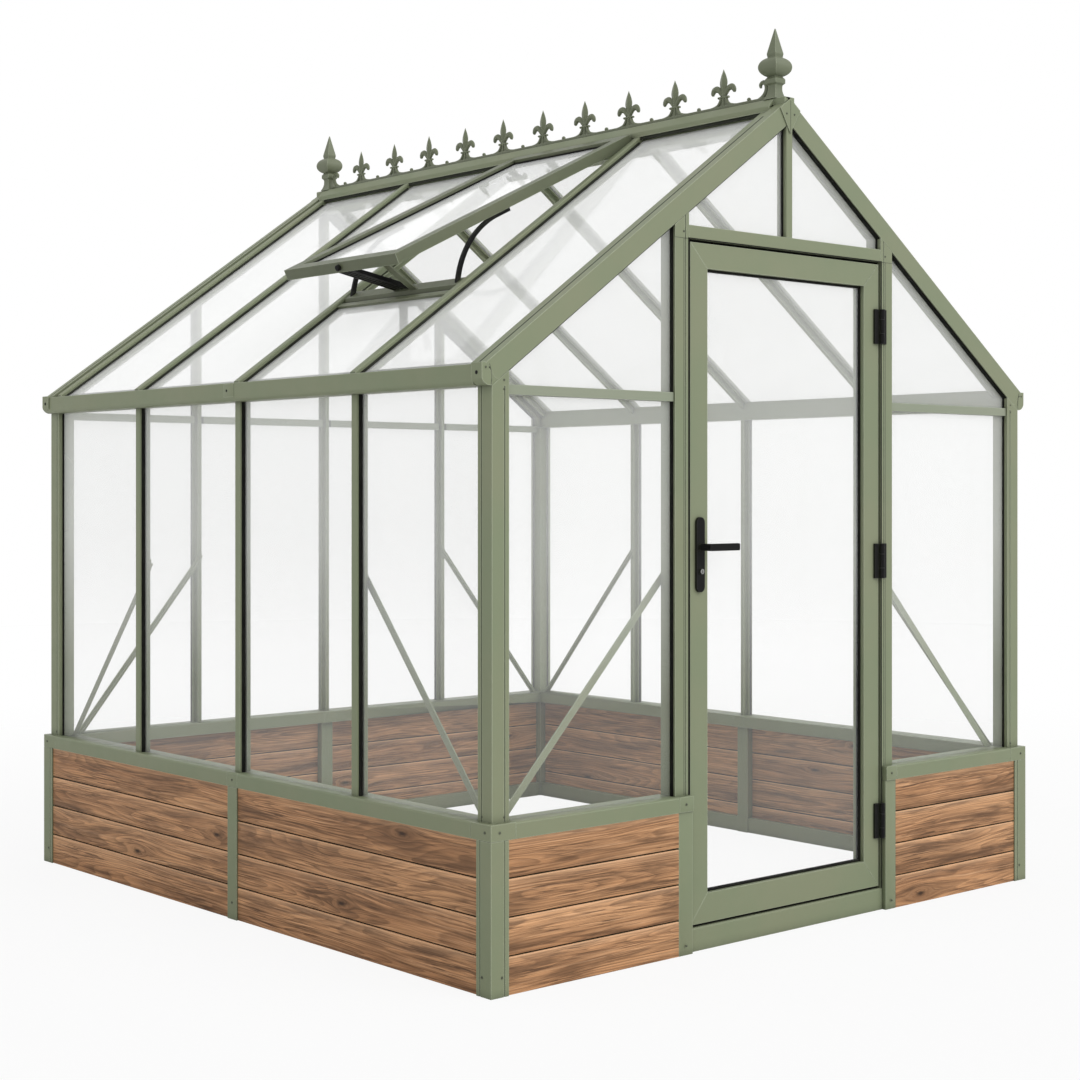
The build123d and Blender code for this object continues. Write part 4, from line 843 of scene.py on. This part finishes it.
opening_half, opening_foot, opening_head = 0.455, 0.072, 2.158
seal_seat, post_face = -1.262, -1.300
bulb_seal = (0.0045, 0.023)
side_lip, head_lip = (0.0046, 0.0012), (0.0030, 0.0012)
door_rubber = bmesh.new()
for side in (-1, 1):
    foot = (side * opening_half, seal_seat, opening_foot)
    head = (side * opening_half, seal_seat, opening_head)
    rubber_strip(door_rubber, foot, head, (-side, 0, 0), forward, *bulb_seal)
for level, inward in ((opening_head, -1), (opening_foot, 1)):
    left = (-opening_half, seal_seat, level)
    right = (opening_half, seal_seat, level)
    rubber_strip(door_rubber, left, right, (0, 0, inward), forward, *bulb_seal)
for side in (-1, 1):
    foot = (side * opening_half, post_face, opening_foot)
    head = (side * opening_half, post_face, opening_head)
    rubber_strip(door_rubber, foot, head, (side, 0, 0), forward, *side_lip)
lip_half = opening_half + side_lip[0]
left = (-lip_half, post_face, opening_head)
right = (lip_half, post_face, opening_head)
rubber_strip(door_rubber, left, right, (0, 0, 1), forward, *head_lip)
rubber_piece("door_seals", door_rubber)

leaf_mitres = bmesh.new()
for side in (-1, 1):
    for outer, inner in ((2.1488, 2.0742), (0.0812, 0.1688)):
        for face in (-1.2950, -1.2520):
            flat_bar(
                leaf_mitres, (side * 0.4458, face, outer), (side * 0.3732, face, inner), (0, 1, 0), 0.0012, 0.0016,
                0.0002,
            )
mesh_piece("leaf_mitre_lines", leaf_mitres, seam_shade, "door")

leaf_rubber = bmesh.new()
for face, out in ((-1.2755, -1), (-1.2715, 1)):
    opening = ((-0.372, face, 0.170), (0.372, face, 0.170), (0.372, face, 2.073), (-0.372, face, 2.073))
    rubber_round(leaf_rubber, opening, (0, out, 0), 0.007, 0.006)
rubber_piece("door_glazing_rubber", leaf_rubber, body="door")

door_post_seams = bmesh.new()
door_post_screws = []
for side in (-1, 1):
    near, far = sorted((side * 0.4555, side * 0.5145))
    flat_plate(door_post_seams, (near, -1.3004, 2.1574), (far, -1.2990, 2.1586), 0.0001)
    flat_plate(
        door_post_seams, (side * 0.4780 - 0.0009, -1.3003, 0.480), (side * 0.4780 + 0.0009, -1.2990, 2.1572), 0.0001,
    )
    door_post_screws.append(((side * 0.478, -1.300, 2.178), (0, -1, 0), 0.0032))
mesh_piece("door_post_seams", door_post_seams, seam_shade, "frame")
screws("door_post_screws", door_post_screws, screw_coat)


# Black fittings: butt hinges, lever handles on long plates and the vent's knob.
# Cast and pressed metal with a satin black coat; the lock below the lever has a steel core with a keyway.
eased("frame_hinges", 0.0008, black_coat)
for leaf_fitting in ("door_hinges", "handle_plates"):
    eased(leaf_fitting, 0.0008, black_coat, body="door")

key_steel = coated(
    "key_steel", (0.150, 0.150, 0.145, 1.0), (0.190, 0.190, 0.185, 1.0), (0.45, 0.45, 0.44, 1.0), 0.6, 0.6,
)
key_x, key_z = -0.4095, 1.151
key_faces = ((-1, -1.3108), (1, -1.2362))
key_facets = 24
key_core = bmesh.new()
for out, face in key_faces:
    rings = []
    for reach, lift in ((0.0076, 0.0), (0.0076, 0.0008), (0.0068, 0.0012)):
        ring = []
        for step in range(key_facets):
            angle = 2.0 * math.pi * step / key_facets
            spot = (key_x + reach * math.cos(angle), face + out * lift, key_z + reach * math.sin(angle))
            ring.append(key_core.verts.new(spot))
        rings.append(ring)
    made = [key_core.faces.new(rings[0]), key_core.faces.new(rings[-1])]
    for lower, upper in zip(rings, rings[1:]):
        for step in range(key_facets):
            after = (step + 1) % key_facets
            made.append(key_core.faces.new((lower[step], lower[after], upper[after], upper[step])))
    bmesh.ops.recalc_face_normals(key_core, faces=made)
mesh_piece("key_core", key_core, key_steel, "door")
# Painted shade: a thin black bar on each face of the core stands for the dark of the keyway slot.
keyway_shade = bmesh.new()
for out, face in key_faces:
    near, far = sorted((face + out * 0.0008, face + out * 0.0014))
    flat_plate(keyway_shade, (key_x - 0.0010, near, key_z - 0.0048), (key_x + 0.0010, far, key_z + 0.0048), 0.0001)
mesh_piece("keyway_shade", keyway_shade, black_coat, "door")
for lever_node in ("outer_lever", "inner_lever"):
    eased(lever_node, 0.0008, black_coat, body="lever")
for kept_node in ("lever_spindle", "vent_knob"):
    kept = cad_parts[kept_node]
    kept.data.materials.clear()
    kept.data.materials.append(black_coat)


# Panes: four millimetre float glass in every bay, in the roof, the vent and the door.
# Clear, held in the bars by black rubber; the white of the sky is painted on it as a pale haze, a painted reflection
# with a faint painted glow.
# Painted reflection: the white film's opacity rises from the Foot to the Head value with height and varies with a broad
# noise.
sky_reflection_tree, veil_in, veil_out = finish_group(
    "painted_pane_reflection",
    [("Foot", "Float"), ("Head", "Float")],
    [("Painted reflection", "Float"), ("Roughness", "Float")],
)
veil_place = fit(sky_reflection_tree, "TexCoord", {})["Object"]
veil_height = fit(sky_reflection_tree, "SeparateXYZ", {0: veil_place})["Z"]
veil_wash = fit(sky_reflection_tree, "TexNoise", {"Vector": veil_place, "Scale": 0.9, "Detail": 2.0})["Fac"]
veil_dust = fit(sky_reflection_tree, "TexNoise", {"Vector": veil_place, "Scale": 14.0, "Detail": 6.0, "Roughness": 0.7})["Fac"]
veil_rise = ranged(sky_reflection_tree, veil_height, 0.75, 1.25)
veil_foot = sums(sky_reflection_tree, "MULTIPLY", sums(sky_reflection_tree, "SUBTRACT", 1.0, veil_rise), veil_in["Foot"])
veil_head = sums(sky_reflection_tree, "MULTIPLY", veil_rise, veil_in["Head"])
veil_even = sums(sky_reflection_tree, "ADD", veil_foot, veil_head)
veil_reflection = sums(sky_reflection_tree, "MULTIPLY", veil_even, ranged(sky_reflection_tree, veil_wash, 0.3, 0.7, 0.90, 1.10))
sky_reflection_tree.links.new(veil_reflection, veil_out["Painted reflection"])
sky_reflection_tree.links.new(ranged(sky_reflection_tree, veil_dust, 0.3, 0.7, 0.005, 0.025), veil_out["Roughness"])


def clear_pane(name, foot, head, mirrored):
    material = bpy.data.materials.new(name)
    material.use_nodes = True
    tree = material.node_tree
    shader = tree.nodes["Principled BSDF"]
    shader.inputs["Base Color"].default_value = (0.93, 0.94, 0.935, 1.0)
    layer = tree.nodes.new("ShaderNodeGroup")
    layer.node_tree = sky_reflection_tree
    layer.inputs["Foot"].default_value = foot
    layer.inputs["Head"].default_value = head
    # Painted reflection: the white film is made thicker at a slant.
    lean = fit(tree, "LayerWeight", {"Blend": 0.5})["Facing"]
    slant = ranged(tree, sums(tree, "MULTIPLY", lean, lean), 0.0, 1.0, 1.0, 5.0)
    tree.links.new(sums(tree, "MULTIPLY", layer.outputs["Painted reflection"], slant), shader.inputs["Alpha"])
    tree.links.new(layer.outputs["Roughness"], shader.inputs["Roughness"])
    # Painted glow: a faint white emission stands in for the reflected white sky.
    shader.inputs["Emission Color"].default_value = (1.0, 1.0, 1.0, 1.0)
    shader.inputs["Emission Strength"].default_value = mirrored
    return material


wall_pane = clear_pane("clear_wall_pane", 0.045, 0.130, 0.14)
gable_pane = clear_pane("clear_gable_pane", 0.040, 0.130, 0.05)
roof_pane = clear_pane("clear_roof_pane", 0.120, 0.120, 0.14)
for pane_node, pane_glass in (
    ("wall_glass", wall_pane), ("gable_glass", gable_pane), ("door_glass", gable_pane),
    ("roof_glass", roof_pane), ("vent_glass", roof_pane),
):
    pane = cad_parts[pane_node]
    pane.data.materials.clear()
    pane.data.materials.append(pane_glass)


# Studio: a pale floor that fades out into a white surround, lit evenly all round.
# One wide soft lamp stands in front, and the camera has the height and angle of the photograph.
floor_mesh = bpy.data.meshes.new("studio_floor")
floor_bm = bmesh.new()
bmesh.ops.create_circle(floor_bm, cap_ends=True, segments=96, radius=14.0)
floor_bm.to_mesh(floor_mesh)
floor_bm.free()
studio_floor = bpy.data.objects.new("studio_floor", floor_mesh)
bpy.context.scene.collection.objects.link(studio_floor)
floor_paint = bpy.data.materials.new("studio_floor_paint")
floor_paint.use_nodes = True
paint_tree = floor_paint.node_tree
paint_shader = paint_tree.nodes["Principled BSDF"]
paint_shader.inputs["Base Color"].default_value = (0.72, 0.72, 0.72, 1.0)
paint_shader.inputs["Roughness"].default_value = 0.9
paint_shader.inputs["Specular IOR Level"].default_value = 0.0
paint_reach = fit(
    paint_tree, "VectorMath", {0: fit(paint_tree, "TexCoord", {})["Object"]}, operation="LENGTH",
)["Value"]
paint_tree.links.new(ranged(paint_tree, paint_reach, 2.5, 6.5, 1.0, 0.0), paint_shader.inputs["Alpha"])
paint_white = fit(paint_tree, "Emission", {"Color": (1.0, 1.0, 1.0, 1.0), "Strength": 1.0})
paint_path = fit(paint_tree, "LightPath", {})
paint_seen = sums(
    paint_tree, "MULTIPLY",
    sums(paint_tree, "MAXIMUM", paint_path["Is Camera Ray"], paint_path["Is Transmission Ray"]), 0.90,
)
paint_mixed = fit(paint_tree, "MixShader", {0: paint_seen, 1: paint_shader.outputs[0], 2: paint_white[0]})
paint_tree.links.new(paint_mixed[0], paint_tree.nodes["Material Output"].inputs["Surface"])
floor_mesh.materials.append(floor_paint)

surround = bpy.data.worlds.new("white_surround")
bpy.context.scene.world = surround
surround.use_nodes = True
sky = surround.node_tree
sky_light = sky.nodes["Background"]
sky_light.inputs["Color"].default_value = (1.0, 1.0, 1.0, 1.0)
sky_light.inputs["Strength"].default_value = 0.76
sky_white = sky.nodes.new("ShaderNodeBackground")
sky_white.inputs["Color"].default_value = (1.0, 1.0, 1.0, 1.0)
sky_white.inputs["Strength"].default_value = 1.0
sky_path = fit(sky, "LightPath", {})
sky_seen = sums(
    sky, "MAXIMUM", sums(sky, "MAXIMUM", sky_path["Is Camera Ray"], sky_path["Is Glossy Ray"]),
    sky_path["Is Transmission Ray"],
)
sky_pick = fit(sky, "MixShader", {0: sky_seen, 1: sky_light.outputs[0], 2: sky_white.outputs[0]})
sky.links.new(sky_pick[0], sky.nodes["World Output"].inputs["Surface"])


front_key = bpy.data.lights.new("front_key", "SUN")
front_key.energy = 1.25
front_key.angle = math.radians(50.0)
key_lamp = bpy.data.objects.new("front_key", front_key)
key_lamp.rotation_euler = Vector((-0.25, 0.80, -0.57)).to_track_quat("-Z", "Y").to_euler()
bpy.context.scene.collection.objects.link(key_lamp)

eye = bpy.data.cameras.new("photo_view")
eye.lens = 63.895
eye.sensor_fit = "HORIZONTAL"
eye.sensor_width = 36.0
eye.shift_y = -0.0450
viewer = bpy.data.objects.new("photo_view", eye)
viewer.location = (-4.6073, -5.3591, 1.3941)
viewer.rotation_euler = (math.radians(90.0), 0.0, math.radians(-41.196))
bpy.context.scene.collection.objects.link(viewer)
bpy.context.scene.camera = viewer
bpy.context.scene.view_settings.view_transform = "Standard"
bpy.context.scene.cycles.transparent_max_bounces = 32

bpy.context.view_layer.update()
